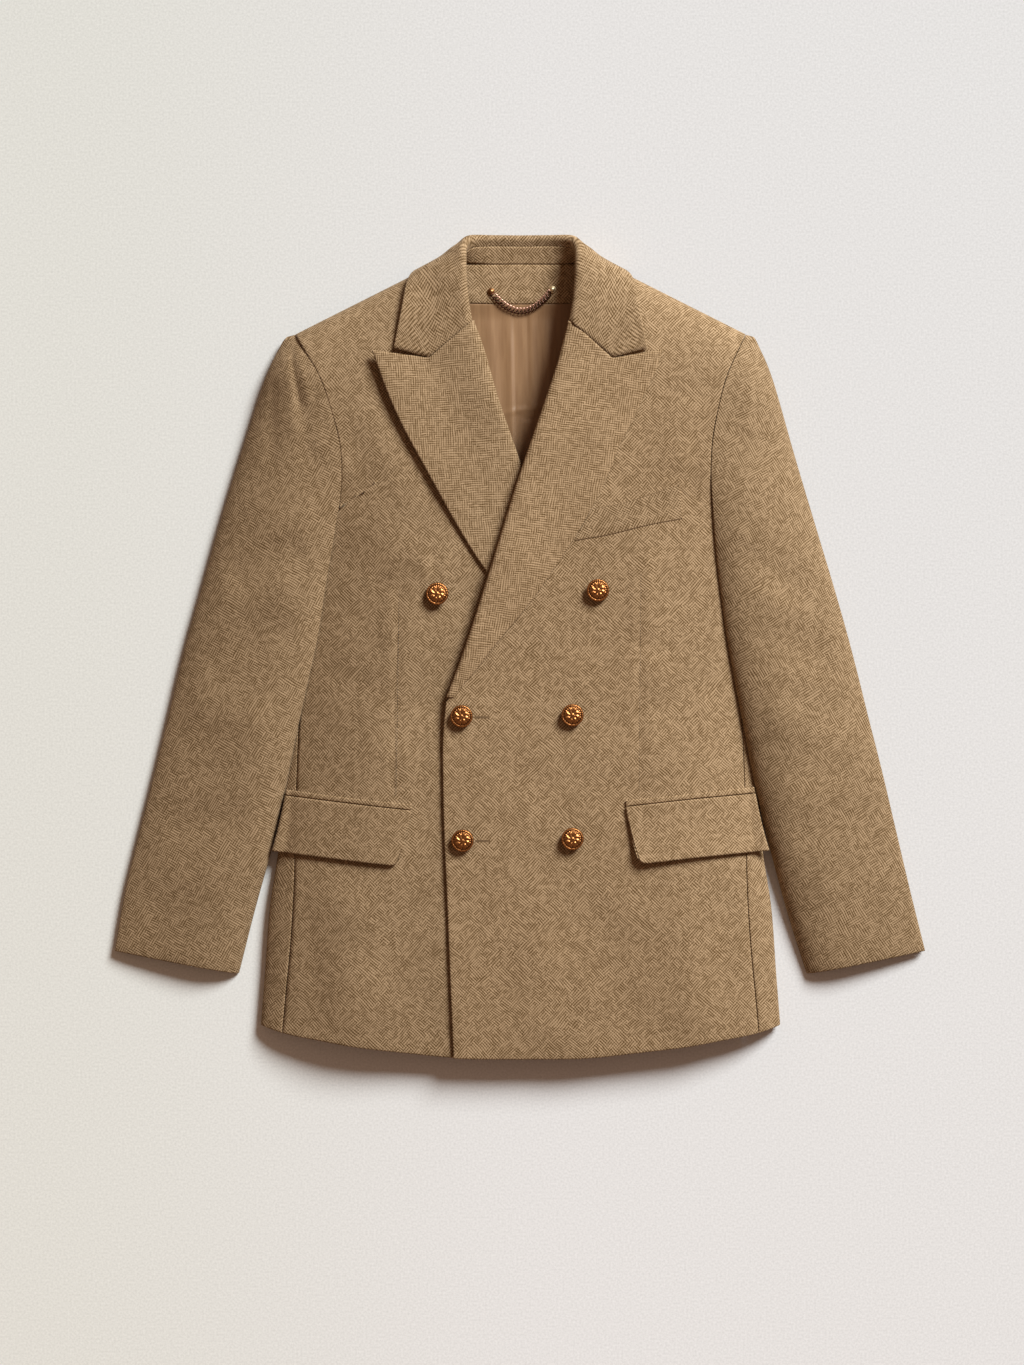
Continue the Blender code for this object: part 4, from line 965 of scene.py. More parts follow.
def side_piece(name, side, nodes):
    """From the back seam out, round the side fold and back to the front seam.

    turn runs from -1 at the back seam over 0 at the fold to 1 at the front seam. How far out a
    point lies depends on its y, and the hem and the top on how far out, so a few rounds settle it.
    """
    turn = np.concatenate([-np.linspace(1, 0, 15), np.linspace(0, 1, 19)[1:]])[None, :]
    climb = np.linspace(0, 1, 90)[:, None]
    y = between(-350, 100, climb) + 0 * turn
    for _ in range(12):
        fold = curve(BODY, "side", y)
        to_back = fold - back_seam(side, y) - SEAM_GAP
        width = np.where(turn < 0, to_back, fold - front_seam(side, y) - SEAM_GAP / 2)
        out = fold - width * np.abs(turn) ** 1.8
        top = np.minimum(underarm_y(side, out), ARMHOLE_LOW - SEAM_GAP)
        hem = curve(HEM, "y", np.minimum(out, 239), "out") + 3 * ease(-turn)
        y = between(hem, top, climb)
    depth = curve(BODY, "side", y) - out
    low = between(FLOOR_LEVEL, FOLD_LEVEL, 1 - rounding(depth, SIDE_FOLD_REACH, 2))
    x = out * side
    z = np.where(turn < 0, low, upper_sheet(x, y))
    return sewn(name, grid(x, y, z), CLOTH / 2, WOOL_BODY[side], nodes,
                (FOLDED, SEWN, SEWN, SEWN))


# ================================================================ sleeves
def sleeve_lines(side):
    """Inner and outer ends of the sleeve's sections, seen from above.

    The first sections are the cap, which starts at the armhole seam.
    """
    column = SIDE_WORD[side]
    inner_y = SLEEVE["inner_y"]
    cap = np.arange(len(inner_y)) < CAP_SECTIONS
    gap = ARMHOLE_GAP[side]
    inner = np.where(cap, armhole(side, inner_y) + gap, curve(SLEEVE_INNER, column, inner_y))
    outer = curve(SLEEVE_OUTER, column, SLEEVE["outer_y"])
    return inner[:, None], outer[:, None], cap[:, None]


def under_sleeve_height(side, out, y, depth_in, depth_out, cap):
    """The lower sheet lies on the surface, or on the body's side, and lifts at its folds.

    The lift falls off with the square of the way in from a fold.
    """
    x = out * side
    rise = SLEEVE_EDGE_RISE * (1 - np.clip(depth_out / SLEEVE_EDGE_REACH, 0, 1)) ** 2
    inner_rise = SLEEVE_INNER_RISE * (1 - np.clip(depth_in / SLEEVE_EDGE_REACH, 0, 1)) ** 2
    rise = np.maximum(rise, np.where(cap, 0, inner_rise))
    near_shoulder = SHOULDER_BACK_RISE * (1 - rounding(shoulder_depth(x, y), SHOULDER_ROUND, 2))
    base = np.where(cap, FLOOR_LEVEL, over_body_side(x, y))
    return base + np.maximum(rise, np.where(cap, near_shoulder, 0))


def under_sleeve_piece(name, side, nodes):
    """The lower sheet, slit along the underarm where the body's side passes through it."""
    inner, outer, cap = sleeve_lines(side)
    inner = np.where(cap, inner, inner + UNDER_SLEEVE_INSET)
    share = UNDER_COLUMNS[None, :]
    slit = UNDER_COLUMNS[SLIT_COLUMNS]
    out = between(inner, outer, share)
    dip = np.minimum(share / slit, (1 - share) / (1 - slit))
    y = between(SLEEVE["inner_y"][:, None], SLEEVE["outer_y"][:, None], share)
    y = y + SLEEVE["bend"][:, None] * dip
    y[CAP_SECTIONS - 1] = y[CAP_SECTIONS - 1] + SLIT_WIDENED
    width = outer - inner
    z = under_sleeve_height(side, out, y, share * width, (1 - share) * width, cap)
    rows_each, columns_each = 4, 3
    rows = (len(SLEEVE["bend"]) - 1) * rows_each
    columns = (len(UNDER_COLUMNS) - 1) * columns_each
    points = finer(grid(out * side, y, z), rows + 1, columns + 1)
    keep = np.ones((rows, columns), bool)
    keep[(CAP_SECTIONS - 1) * rows_each:CAP_SECTIONS * rows_each, :SLIT_COLUMNS * columns_each] = False
    return sewn(name, points, CLOTH / 2, WOOL_SLEEVE[side], nodes, (0, FOLDED, 0, 0), keep)


def top_sleeve_piece(name, side, nodes):
    """The upper sheet, over the arm from the inner to the outer fold.

    Across a section it rises from its start to the crown and falls to its end, each as a
    rounding of the way in from that fold. Folds, puckers and waves fade out at both.
    """
    inner, outer, cap = sleeve_lines(side)
    share = (0.5 - 0.5 * np.cos(np.linspace(0, 1, 46) * math.pi))[None, :]
    width = outer - inner
    inner_y = SLEEVE["inner_y"][:, None]
    outer_y = SLEEVE["outer_y"][:, None]
    low_out = under_sleeve_height(side, outer, outer_y, width, 0 * outer, cap)
    start = np.where(cap, upper_sheet(inner * side, inner_y) + SLEEVE["over_arm"][:, None],
                     over_body_side(inner * side, inner_y) + SLEEVE_INNER_STEP)
    end = low_out + SLEEVE_SEAM_STEP
    rise_power = np.interp(inner_y, SLEEVE_RISE["y"], SLEEVE_RISE["power"])
    rising = rounding(share * width, SLEEVE_REACH, rise_power)
    level = start + (SLEEVE["crown"][:, None] - start) * rising
    fall_reach = np.maximum(width, SLEEVE_REACH)
    fall_power = between(2, SLEEVE_FALL[side], ease((width - SLEEVE_REACH) / 30))
    z = end + (level - end) * rounding((1 - share) * width, fall_reach, fall_power)
    sections = grid(between(inner, outer, share) * side, between(inner_y, outer_y, share), z)
    points = smooth_through(sections, 150)
    out, y = points[..., 0] * side, points[..., 1]
    full_width = (points[:, -1:, 0] - points[:, :1, 0]) * side
    inside = np.clip(np.minimum(share, 1 - share) * full_width / 25, 0, 1)
    for folds in (SLEEVE_CREASES, SLEEVE_PUCKERS):
        here = folds["side"] == side
        chosen = {key: column[here] for key, column in folds.items()}
        points[..., 2] += soft_folds(chosen, out, y) * inside
    points[..., 2] += unevenness(points[..., 0], y) * inside
    return sewn(name, points, CLOTH / 2, WOOL_SLEEVE[side], nodes,
                (SEWN, FOLDED, SEWN if side == LEFT else HIDDEN_SEAM, 1.2))


# ================================================================ lapels and collar
def lapel_piece(name, side, nodes):
    """Rolled round the front's edge at the roll line, and out over the front to the peak.

    A row is a strip under the front, a half circle round its edge, and a flat part that lies a
    layer over it, with a bell-shaped bulge by the roll and a lift towards the tip. Rows dip
    towards the gorge's corner with the fifth power of the climb.
    """
    roll = ROLL_OVER if side == LEFT else ROLL_UNDER
    edge = LAPEL_OVER if side == LEFT else LAPEL_UNDER
    climb = np.linspace(0, 1, 120)[:, None]
    roll_y = between(BREAK_Y + 2, GORGE_Y - GORGE_GAP, climb)
    edge_y = between(BREAK_Y + 2, edge["y"][-1] - NOTCH_GAP, climb)
    roll_out = curve(roll, "x", roll_y) * side
    edge_out = curve(edge, "x", edge_y) * side
    angle = np.radians(np.linspace(-80, 62, 12))
    depth = np.concatenate([[ROLL_STRIP, 8, ROLL_RADIUS + 2], ROLL_RADIUS * (1 - np.cos(angle))])
    height = np.concatenate([[-ROLL_RADIUS] * 3, ROLL_RADIUS * np.sin(angle)])
    flat = np.linspace(0, 1, 34)[1:][None, :]
    width = np.maximum(edge_out - roll_out, LAPEL_TIP[side])
    flat_out = between(roll_out + depth[-1], roll_out + width, flat)
    out = np.concatenate([roll_out + depth[None, :], flat_out], axis=1)
    share = np.clip((out - roll_out) / width, 0, 1)
    y = between(roll_y, edge_y, share)
    gorge_share = (GORGE_CORNER[0] - roll_out[-1, 0]) / width[-1, 0]
    dip = np.minimum(share / gorge_share, (1 - share) / (1 - gorge_share))
    drop = between(GORGE_Y, edge["y"][-1], gorge_share) - GORGE_CORNER[1]
    y = y - drop * dip * climb ** 5
    x = out * side
    bulge = between(*LAPEL_BULGE, ease(climb)) * np.minimum(1, width / 30)
    if side == RIGHT:
        bulge = bulge * (1 - ease((x - front_line(y) + 55) / 50))
    layer = LAPEL_LAYER[side]
    bump = bulge * np.exp(-((out - roll_out) / 34 - 0.25) ** 2 * 3)
    over = np.concatenate([height[None, :] + 0 * roll_out, layer + 0 * flat_out], axis=1)
    over = over * np.where(over > 0, between(0.4, 1, ease(climb * 10)), 1)
    tip = ease((share - 0.35) / 0.65) * ease((climb - 0.3) / 0.7)
    gorge_rise = 0.7 * ease((climb - 0.95) / 0.05) * (1 - ease((share - gorge_share + 0.05) / 0.1))
    raised = bump + LAPEL_LIFT[side] * tip + gorge_rise
    z = front_height(side)(x, y) + over + np.where(over > 0, raised, 0)
    return sewn(name, grid(x, y, z), LAPEL_HALF, WOOL_LAPEL[side], nodes,
                (0.8, HIDDEN_SEAM, 0, FOLDED))


def mirrored(half):
    """Sections of the whole collar from those of its left half, centre back first."""
    return np.concatenate([half[:0:-1] * np.array([-1, 1, 1]), half])


def collar_net():
    """Guide points of the collar's left half: sections, guides, xyz."""
    return np.stack([grid(COLLAR[g + "_x"], COLLAR[g + "_y"], COLLAR[g + "_z"])
                     for g in COLLAR_GUIDES], axis=1)


def collar_leaf_piece(name, nodes):
    """Smooth over its guides; near each end the sections become straight from guide to guide."""
    sections, across = 71, 46
    net = mirrored(smooth_through(collar_net(), sections)).transpose(1, 0, 2)
    last = len(COLLAR["seam_x"]) - 1
    from_centre = np.abs(np.arange(-sections + 1, sections)) / (sections - 1) * last
    straight = np.clip(1 - (last - from_centre) / COLLAR_STRAIGHT, 0, 1)[None, :, None]
    points = between(smooth_through(net, across), straight_through(net, across), straight)
    return sewn(name, points.transpose(1, 0, 2), CLOTH / 2, WOOL_COLLAR, nodes,
                (HIDDEN_SEAM, HIDDEN_SEAM, HIDDEN_SEAM, FOLDED), cut=collar_cut(FOLD_COLUMN))


def collar_stand_piece(name, nodes):
    """From its foot on the neckline straight up to the leaf's seam, less a gap."""
    seam = collar_net()[:, 0]
    foot = grid(STAND["x"], STAND["y"], STAND["z"])
    away = seam - foot
    gap = between(0.1, 1.2, ease(np.linspace(0, 2, len(seam)) - 0.4))[:, None]
    top = seam - away / np.linalg.norm(away, axis=1, keepdims=True) * gap
    points = finer(mirrored(np.stack([foot, between(foot, top, 0.5), top], axis=1)), 110, 10)
    return sewn(name, points, CLOTH / 2, WOOL_STAND, nodes,
                (HIDDEN_SEAM, HIDDEN_SEAM, HIDDEN_SEAM, HIDDEN_SEAM), cut=collar_cut(0))


# ================================================================ inside of the neck
def on_back(x, y, thickness):
    """A layer that lies on the back."""
    return lower_sheet(x, y) + CLOTH / 2 + 0.35 + thickness / 2


def facing_edge(across):
    """y of the facing's lower edge, which rises with the square of the way from the centre."""
    return FACING_EDGE_Y + 1.5 * across ** 2


def neck_facing_piece(name, nodes):
    """A band on the back: its lower edge dips at the centre, and it lifts towards the neckline."""
    across = np.linspace(-1, 1, 40)[None, :]
    climb = np.linspace(0, 1, 14)[:, None]
    x = FACING_HALF * across + 0 * climb
    y = between(facing_edge(across), NECK_SEAM_Y, climb)
    z = on_back(x, y, FACING) + 1.5 * ease((y - 322) / 27)
    return sewn(name, grid(x, y, z), FACING / 2, WOOL_STAND, nodes,
                (FOLDED, HIDDEN_SEAM, 0, 0))


LINING_FOLDS = table("x0 y0 x1 y1 width height", [
    (6, 309, 8, 235, 1.5, -0.28), (22, 300, 30, 190, 6, 0.7), (10, 312, 12, 200, 4, 0.4),
    (-30, 305, -22, 200, 7, 0.6), (-3, 216, 26, 219, 2.2, 0.8), (2, 209, 22, 207, 1.8, -0.6),
    (-20, 212, 0, 216, 2.4, 0.5), (8, 222, 20, 221, 1.5, 0.5),
])


def back_lining_piece(name, nodes):
    """The lining in the neck, with a centre pleat: a bell, steep on one side and slow on the other."""
    across = np.linspace(-1, 1, 110)[None, :]
    climb = np.linspace(0, 1, 100)[:, None]
    x = between(LINING_HALF_END, LINING_HALF_TOP, climb) * across
    y = between(LINING_END_Y, facing_edge(across) - SEAM_GAP, climb)
    from_pleat = x + 8 + (y - 260) * 0.02
    pleat = np.exp(-np.where(from_pleat > 0, from_pleat / 1.2, from_pleat / 6) ** 2)
    pleat = 1.3 * pleat * (1 - 0.7 * ease((y - 262) / 40))
    z = on_back(x, y, 1.0) + pleat + np.maximum(soft_folds(LINING_FOLDS, x, y), -0.3)
    return sewn(name, grid(x, y, z), LINING_HALF, SATIN, nodes, (0, 0.8, 0, 0))


# ================================================================ pockets
def on_front(side, x, y, over):
    """A layer on a front; past the side fold it stands straight out."""
    limit = curve(BODY, "side", y) - 7
    return front_height(side)(np.minimum(np.abs(x), limit) * side, y) + over


def pocket_end(side, y):
    """How far out jet and flap reach: to the sleeve that lies beside them."""
    return curve(SLEEVE_INNER, SIDE_WORD[side], y) - SLEEVE_CLEARANCE


def jet_piece(name, side, nodes):
    """A narrow strip between the pocket's two lines."""
    lines = POCKET[side]
    along = np.linspace(0, 1, 50)[:, None]
    down = np.linspace(0, 1, 6)[None, :]
    y = between(curve(lines, "jet_top", along, "along"), curve(lines, "jet_low", along, "along"), down)
    out = between(POCKET_FRONT_X[side], pocket_end(side, y), along)
    z = on_front(side, out * side, y, JET_OVER)
    return sewn(name, grid(out * side, y, z), JET_HALF, WOOL_BODY[side], nodes,
                (1.0, 0, FOLDED, FOLDED))


def flap_piece(name, side, nodes):
    """Hangs from the jet; its front lower corner is a quarter circle and stands off a little."""
    lines = POCKET[side]
    along = (np.linspace(0, 1, 60) ** 1.35)[:, None]
    down = np.linspace(0, 1, 26)[None, :]
    to_front = 1 - np.minimum(along * FLAP_LENGTH / FLAP_CORNER, 1)
    corner = 1 - np.sqrt(np.clip(1 - to_front ** 2, 0, 1))
    depth = FLAP_DEPTH[side] - FLAP_CORNER * 0.8 * corner
    y = curve(lines, "jet_low", along, "along") - SEAM_GAP - 0.2 - depth * down
    front = POCKET_FRONT_X[side] + FLAP_SLANT[side] * down ** 1.3
    out = between(front, pocket_end(side, y), along)
    lift = 0.6 + FLAP_LIFT[side] * down ** 2 * (0.35 + 0.65 * (1 - along) ** 3)
    z = on_front(side, out * side, y, LAYER + lift)
    return sewn(name, grid(out * side, y, z), FLAP_HALF, WOOL_BODY[side], nodes,
                (FOLDED, 0, SEWN, FOLDED))


def breast_welt_piece(name, nodes):
    """A flat strip between the welt's upper and lower line."""
    along = np.linspace(0, 1, 44)[:, None]
    down = np.linspace(0, 1, 14)[None, :]
    top_x = between(WELT_TOP["x"][0], WELT_TOP["x"][-1], along)
    low_x = between(WELT_LOW["x"][0], WELT_LOW["x"][-1], along)
    x = between(top_x, low_x, down)
    y = between(curve(WELT_TOP, "y", top_x, "x"), curve(WELT_LOW, "y", low_x, "x"), down)
    z = upper_sheet(x, y) + CLOTH / 2 + 0.25
    return sewn(name, grid(x, y, z), WELT_HALF, WOOL_WELT, nodes, (SEWN, SEWN, 1.0, SEWN))


# ================================================================ buttons, rivets, chain
BUTTON_FOOT = table("radius height", [
    (0.0, 0.0), (0.30, 0.0), (0.32, 0.18), (0.6, 0.21), (0.88, 0.25), (0.985, 0.31), (1.0, 0.36),
])


def ring(radius, middle, width):
    """A bell across a ring of a button's face."""
    return np.exp(-((radius - middle) / width) ** 2)


def rosette(radius, angle):
    """Relief over a button's radius: each part is a cosine of the angle inside its own ring.

    From the rim inwards: a rope, a groove, beads, leaves, petals and an eye, all a little hammered.
    """
    rope = ring(radius, 0.91, 0.05) * (0.035 + 0.02 * np.cos(30 * angle + 20 * radius))
    groove = -0.045 * ring(radius, 0.80, 0.03)
    pearls = ring(radius, 0.71, 0.045) * 0.03 * (0.3 + np.cos(22 * angle))
    petals = ring(radius, 0.44, 0.15) * 0.075 * np.abs(np.cos(4 * angle + 2.4 * radius)) ** 1.5
    leaves = ring(radius, 0.58, 0.07) * 0.05 * np.maximum(np.cos(8 * angle + 6 * radius), 0)
    eye = 0.06 * ring(radius, 0, 0.13)
    hammered = np.sin(9 * radius * np.cos(angle) * 2.1 + 1) * np.sin(11 * radius * np.sin(angle) * 1.9)
    return rope + groove + pearls + petals + leaves + eye + 0.012 * hammered


def button_piece(name, x, y, seat, tilt, toward, nodes):
    """A shank button: a turned profile with the rosette's relief on its face.

    Above its foot it leans as a whole: x and y times the slope are added to its height.
    """
    sides = 96
    angle = (np.arange(sides) * math.tau / sides)[None, :]
    reach = np.linspace(0.985, 0.0, 34)
    face = between(0.40, 0.66, rounding(1 - reach, 1.0, 2.1))
    radius = np.concatenate([BUTTON_FOOT["radius"], reach])[:, None] + 0 * angle
    height = np.concatenate([BUTTON_FOOT["height"], face])[:, None] + 0 * angle
    on_face = (np.arange(len(radius)) >= len(BUTTON_FOOT["radius"]))[:, None]
    relief = np.where(on_face, rosette(radius, angle), 0)
    points = grid(radius * np.cos(angle), radius * np.sin(angle), height + relief) * BUTTON_RADIUS
    raised = np.clip(relief / 0.07 + 0.35, 0, 1) * on_face + 0.25 * (~on_face)
    slope = math.tan(math.radians(tilt))
    lean_x = math.cos(math.radians(toward)) * slope
    lean_y = math.sin(math.radians(toward)) * slope
    share = np.clip(points[..., 2] / (0.3 * BUTTON_RADIUS), 0, 1)
    points[..., 2] += (points[..., 0] * lean_x + points[..., 1] * lean_y) * share * 0.5
    carrier = under_front if nodes == ["button_top_right"] else upper_sheet
    around = BUTTON_RADIUS * 0.3 * np.array([-1, 0, 1])
    highest = float(carrier(x + around[:, None], y + around[None, :]).max())
    points = points + np.array([x, y, highest + CLOTH / 2 + seat])
    return solid(name, points.reshape(-1, 3), ring_faces(len(radius), sides), COPPER,
                 nodes, values={"raised": raised.ravel()})


RIVET = table("radius height raised", [
    (0, 0, 0), (1.0, 0.0, 0), (1.04, 0.14, 0.4), (1.0, 0.30, 0.8), (0.9, 0.36, 0.8),
    (0.82, 0.33, 0.1), (0.76, 0.40, 0.7), (0.6, 0.58, 1), (0.4, 0.70, 1), (0.2, 0.76, 1), (0, 0.78, 1),
])


def rivet_piece(name, x, y, metal, nodes):
    """A domed stud with a turned rim: its profile carried round a circle."""
    sides = 40
    angle = (np.arange(sides) * math.tau / sides)[None, :]
    radius, height = RIVET["radius"][:, None], RIVET["height"][:, None]
    points = grid(radius * np.cos(angle), radius * np.sin(angle), height) * RIVET_RADIUS
    points = points + np.array([x, y, float(on_back(x, y, FACING)) + 0.85])
    return solid(name, points.reshape(-1, 3), ring_faces(len(radius), sides), metal,
                 nodes, values={"raised": np.repeat(RIVET["raised"], sides)})


def chain_link(length, rings, sides):
    """A curb link: wire round an oval loop, skewed so that it lies flat through the next."""
    turn = (np.arange(rings) * math.tau / rings)[:, None]
    skew = math.radians(38)
    long_way = np.cos(turn) * length
    wide_way = np.sin(turn) * LINK_HALF_WIDTH
    along = long_way * math.cos(skew) - wide_way * math.sin(skew) * 0.55
    across = long_way * math.sin(skew) * 0.9 + wide_way * math.cos(skew)
    centre = grid(along, across, LINK_LIFT * np.sin(turn + 0.4))[:, 0]
    ahead = np.roll(centre, -1, axis=0) - np.roll(centre, 1, axis=0)
    ahead = ahead / np.linalg.norm(ahead, axis=1, keepdims=True)
    aside = np.cross(ahead, [0, 0, 1.0])
    aside = aside / np.linalg.norm(aside, axis=1, keepdims=True)
    above = np.cross(aside, ahead)
    angle = (np.arange(sides) * math.tau / sides)[None, :, None]
    wire = aside[:, None] * np.cos(angle) * WIRE + above[:, None] * np.sin(angle) * WIRE * 0.8
    return centre[:, None] + wire


def chain_piece(name, nodes):
    """Links at even steps along a parabola that sags between the two rivets."""
    start = np.array(RIVETS["rivet_right"]) + (2.0, -CHAIN_BELOW_RIVET)
    end = np.array(RIVETS["rivet_left"]) + (-2.0, -CHAIN_BELOW_RIVET)
    fine = np.linspace(0, 1, 400)
    line_x = between(start[0], end[0], fine)
    sag = (CHAIN_DIP - CHAIN_BELOW_RIVET) * (1 - (2 * fine - 1) ** 2)
    line_y = between(start[1], end[1], fine) - sag
    way = np.concatenate([[0], np.cumsum(np.hypot(np.diff(line_x), np.diff(line_y)))])
    at = (np.arange(CHAIN_COUNT) + 0.5) / CHAIN_COUNT * way[-1]
    x = np.interp(at, way, line_x)
    y = np.interp(at, way, line_y)
    direction = np.arctan2(np.interp(at, way, np.gradient(line_y)),
                           np.interp(at, way, np.gradient(line_x)))
    rings, sides = 22, 8
    link = chain_link(way[-1] / CHAIN_COUNT * 0.98, rings, sides)
    cos, sin = np.cos(direction)[:, None, None], np.sin(direction)[:, None, None]
    z = on_back(x, y, FACING)[:, None, None] + CHAIN_OVER
    points = grid(link[None, ..., 0] * cos - link[None, ..., 1] * sin + x[:, None, None],
                  link[None, ..., 0] * sin + link[None, ..., 1] * cos + y[:, None, None],
                  link[None, ..., 2] + z)
    faces = copies(ring_faces(rings, sides, looped=True), CHAIN_COUNT, rings * sides)
    # raised is the wire's height: the links' tops take the painted highlight, their lower sides the
    # painted shade.
    raised = np.tile(np.clip(link[..., 2] * 1.3 + 0.05, 0, 1).ravel(), CHAIN_COUNT)
    return solid(name, points.reshape(-1, 3), faces, CHAIN_COPPER, nodes,
                 values={"raised": raised})


# ================================================================ hand and machine sewing
def stitched_line(name, lines, spacing, length, radius, carrier, over, material):
    """Pellets at even steps along straight lines on a sheet, each along its line and half sunk."""
    centres, directions = [], []
    for x0, y0, x1, y1 in lines:
        count = int(math.hypot(x1 - x0, y1 - y0) / spacing)
        t = (np.arange(count) + 0.5) / count
        x, y = between(x0, x1, t), between(y0, y1, t)
        z = carrier(x, y) + over
        centres.append(grid(x, y, z))
        ahead = 0.01
        nearby = carrier(x + (x1 - x0) * ahead, y + (y1 - y0) * ahead) + over
        directions.append(grid((x1 - x0) * ahead, (y1 - y0) * ahead, nearby - z))
    return beads(name, np.concatenate(centres), np.concatenate(directions), length, radius, material)


def on_top(x, y, over):
    """Points at a height over the upper sheet's face."""
    return grid(x, y, upper_sheet(x, y) + CLOTH / 2 + over)


def buttonhole(name, x, y):
    """A slit with thread wrapped over both lips: pellets across it, and a bar at the inner end. The slit
    itself is a dark flat pellet, painted shade in the cut.
    """
    reach = np.linspace(-5.8, 5.8, 17)
    centres, directions = [], []
    for row in (-0.55, 0.55):
        centres.append(on_top(x + reach, y + row + 0 * reach, 0.12))
        directions.append(grid(0.15 + 0 * reach, 1, 0))
    bar = np.linspace(-1.2, 1.2, 4)
    centres.append(on_top(x + 6.9 + 0 * bar, y + bar, 0.2))
    directions.append(grid(1 + 0 * bar, 0, 0))
    threads = beads(name, np.concatenate(centres), np.concatenate(directions), 1.1, 0.28,
                    BROWN_THREAD)
    # the slit: a dark flat pellet that paints the shade in the cut
    slit = beads(name + "_slit", on_top(x, y, 0.05)[None], [[1.0, 0, 0]], 12.0, 0.26, DARK_THREAD_AND_PAINTED_SHADE,
                 squash=0.5)
    return threads, slit


# ================================================================ stage, light and camera
# The lamp: metres away, watts, degrees above the floor and round from the wearer's left, radius
# in metres, and its share of the floor's light at the blazer
LAMP_AWAY = 6.0
LAMP_POWER = 2655
LAMP_HEIGHT = 33
LAMP_ROUND = 52
LAMP_RADIUS = 1.25
LAMP_COLOUR = (0.912, 0.982, 1.0)
LAMP_SHARE = 0.8
ROOM_LIGHT = 0.24
ROOM_COLOUR = (0.90, 0.59, 0.42)
FLOOR_HALF = 4
# The floor's two colours: painted darker towards the left as painted shade, and paler to the right.
FLOOR_PAINTED_SHADE = (0.680, 0.661, 0.619)
FLOOR_PALE = (0.722, 0.694, 0.685)
CAMERA_PLACE = (-0.0078, -0.0334, 2.504)
CAMERA_LENS = 72
CAMERA_SENSOR = 36


def lamp_place():
    """Where the lamp stands, in metres: up and to the right, out of view."""
    climb = math.radians(LAMP_HEIGHT)
    turn = math.radians(LAMP_ROUND)
    out = LAMP_AWAY * math.cos(climb)
    return out * math.cos(turn), out * math.sin(turn), LAMP_AWAY * math.sin(climb)


def build_stage():
    """A pale level floor, toned against the lamp's fall-off so that it shows one even light.

    The lamp's light on it falls with the cube of the distance; the room's share stays. Its colour
    is scaled by one over their sum, up to a limit far away, which is painted shading that evens out
    the lamp's fall-off. Towards the left the colour darkens as well, as painted shade.
    """
    mesh = bpy.data.meshes.new("floor")
    corners = [(-1, -1), (1, -1), (1, 1), (-1, 1)]
    mesh.from_pydata([(FLOOR_HALF * x, FLOOR_HALF * y, 0) for x, y in corners], [], [(0, 1, 2, 3)])
    recipe = Recipe("pale_floor")
    place = recipe.object_place()
    x = recipe.node("ShaderNodeSeparateXYZ", {}, {0: place}, 0)
    y = recipe.node("ShaderNodeSeparateXYZ", {}, {0: place}, 1)
    lamp_x, lamp_y, lamp_z = lamp_place()
    away = ((x - lamp_x) * (x - lamp_x) + (y - lamp_y) * (y - lamp_y) + lamp_z ** 2) / LAMP_AWAY ** 2
    light = away.power(-1.5) * LAMP_SHARE + (1 - LAMP_SHARE)
    painted_shading = light.power(-1.0).least(1.38)
    grain = (recipe.noise(place, 520.0) - 0.5) * 0.36 + (recipe.noise(place, 1.6) - 0.5) * 0.03
    # painted shade: the floor's colour darkens towards the left
    colour = recipe.blend(x.stepped(-0.46, 0.06), FLOOR_PAINTED_SHADE, FLOOR_PALE)
    recipe.base_colour(recipe.tinted(colour, (grain + 1.0) * painted_shading))
    recipe.constants(Roughness=0.9, Specular_IOR_Level=0.1)
    mesh.materials.append(recipe.material)
    floor = bpy.data.objects.new("floor", mesh)
    bpy.context.scene.collection.objects.link(floor)


def build_light_and_camera():
    """A broad soft lamp up and to the right, a dim warm room, and a long lens looking down."""
    data = bpy.data.lights.new("window", "POINT")
    data.energy = LAMP_POWER
    data.shadow_soft_size = LAMP_RADIUS
    data.color = LAMP_COLOUR
    lamp = bpy.data.objects.new("window", data)
    lamp.location = lamp_place()
    bpy.context.scene.collection.objects.link(lamp)
    world = bpy.data.worlds.new("studio")
    world.use_nodes = True
    background = world.node_tree.nodes["Background"]
    background.inputs["Color"].default_value = (*ROOM_COLOUR, 1)
    background.inputs["Strength"].default_value = ROOM_LIGHT
    bpy.context.scene.world = world
    data = bpy.data.cameras.new("camera")
    data.lens = CAMERA_LENS
    data.sensor_width = CAMERA_SENSOR
    camera = bpy.data.objects.new("camera", data)
    camera.location = CAMERA_PLACE
    bpy.context.scene.collection.objects.link(camera)
    bpy.context.scene.camera = camera
    bpy.context.scene.view_settings.view_transform = "Standard"


# ================================================================ the blazer
def both_sides(make, piece, node):
    """The same piece for the wearer's left and right."""
    for side, word in SIDE_WORD.items():
        make(f"{piece}_{word}", side, [f"{node}_{word}"])


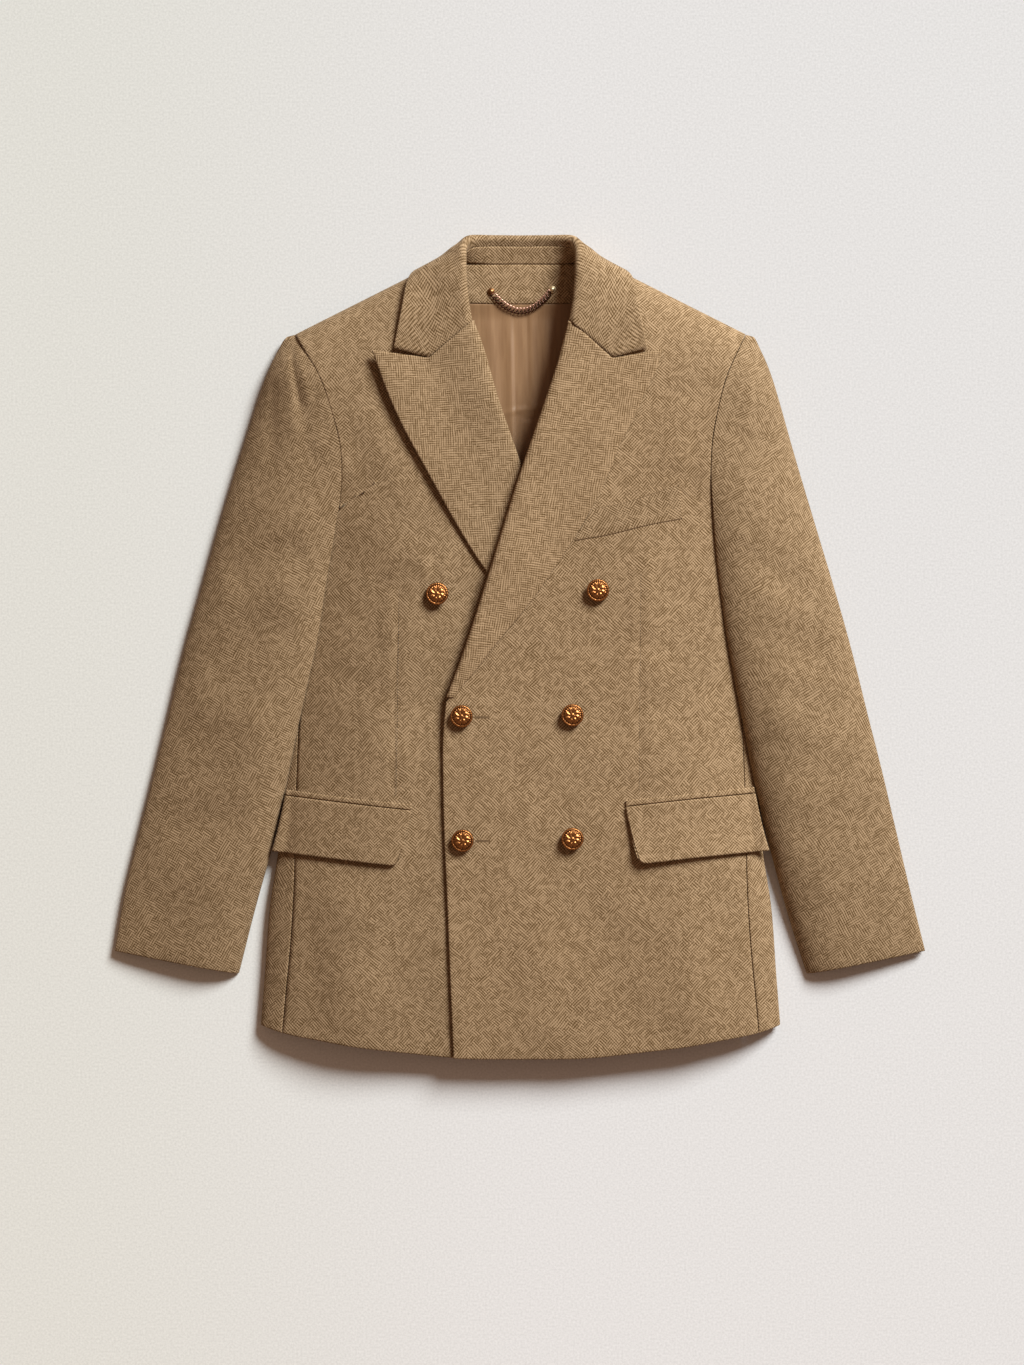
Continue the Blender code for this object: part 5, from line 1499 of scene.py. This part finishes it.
def welt_stitches(part, edge):
    """Top stitches along one of the welt's lines, in short straight lengths."""
    x = np.linspace(edge["x"][0], edge["x"][-1], 9)
    y = curve(edge, "y", x, "x")
    lines = list(zip(x[:-1], y[:-1], x[1:], y[1:]))
    return stitched_line("welt_stitches_" + part, lines, 1.5, 1.35, 0.26, upper_sheet,
                         CLOTH / 2 + 0.62, BROWN_THREAD)


both_sides(back_piece, "back_panel", "back")
both_sides(side_piece, "side_panel", "side")
front_piece("front_panel_over", LEFT, ["front_over"])
front_piece("front_panel_under", RIGHT, ["front_under"])
both_sides(top_sleeve_piece, "sleeve_top", "top_sleeve")
both_sides(under_sleeve_piece, "sleeve_under", "under_sleeve")
lapel_piece("lapel_facing_over", LEFT, ["lapel_over"])
lapel_piece("lapel_facing_under", RIGHT, ["lapel_under"])
collar_leaf_piece("collar_leaf_cloth", ["collar_leaf"])
collar_stand_piece("collar_stand_cloth", ["collar_stand"])
neck_facing_piece("neck_facing_cloth", ["neck_facing"])
back_lining_piece("back_lining_satin", ["back_lining"])
both_sides(jet_piece, "pocket_jet", "jet")
both_sides(flap_piece, "pocket_flap", "flap")
breast_welt_piece("breast_pocket_welt", ["breast_welt"])
for name, *place in zip(BUTTON_NAMES, *BUTTONS.values()):
    button_piece(name + "_metal", *place, [name])
for name, (rivet_x, rivet_y) in RIVETS.items():
    rivet_piece(name + "_stud", rivet_x, rivet_y, RIVET_METAL[name], [name])
chain_piece("hanger_chain_links", ["hanger_chain"])
dart_lines = list(zip(DARTS["x0"], DARTS["y0"], DARTS["x1"], DARTS["y1"]))
stitched_line("dart_stitches", dart_lines, 2.6, 1.5, 0.42, upper_sheet, CLOTH / 2 - 0.05, DARK_THREAD_AND_PAINTED_SHADE)
front_trim = [welt_stitches("top", WELT_TOP), welt_stitches("low", WELT_LOW)]
for number, (hole_x, hole_y) in enumerate(zip(*BUTTONHOLES.values())):
    front_trim += buttonhole(f"buttonhole_{number + 1}", hole_x, hole_y)
declare_sheets(front_trim)

build_stage()
build_light_and_camera()
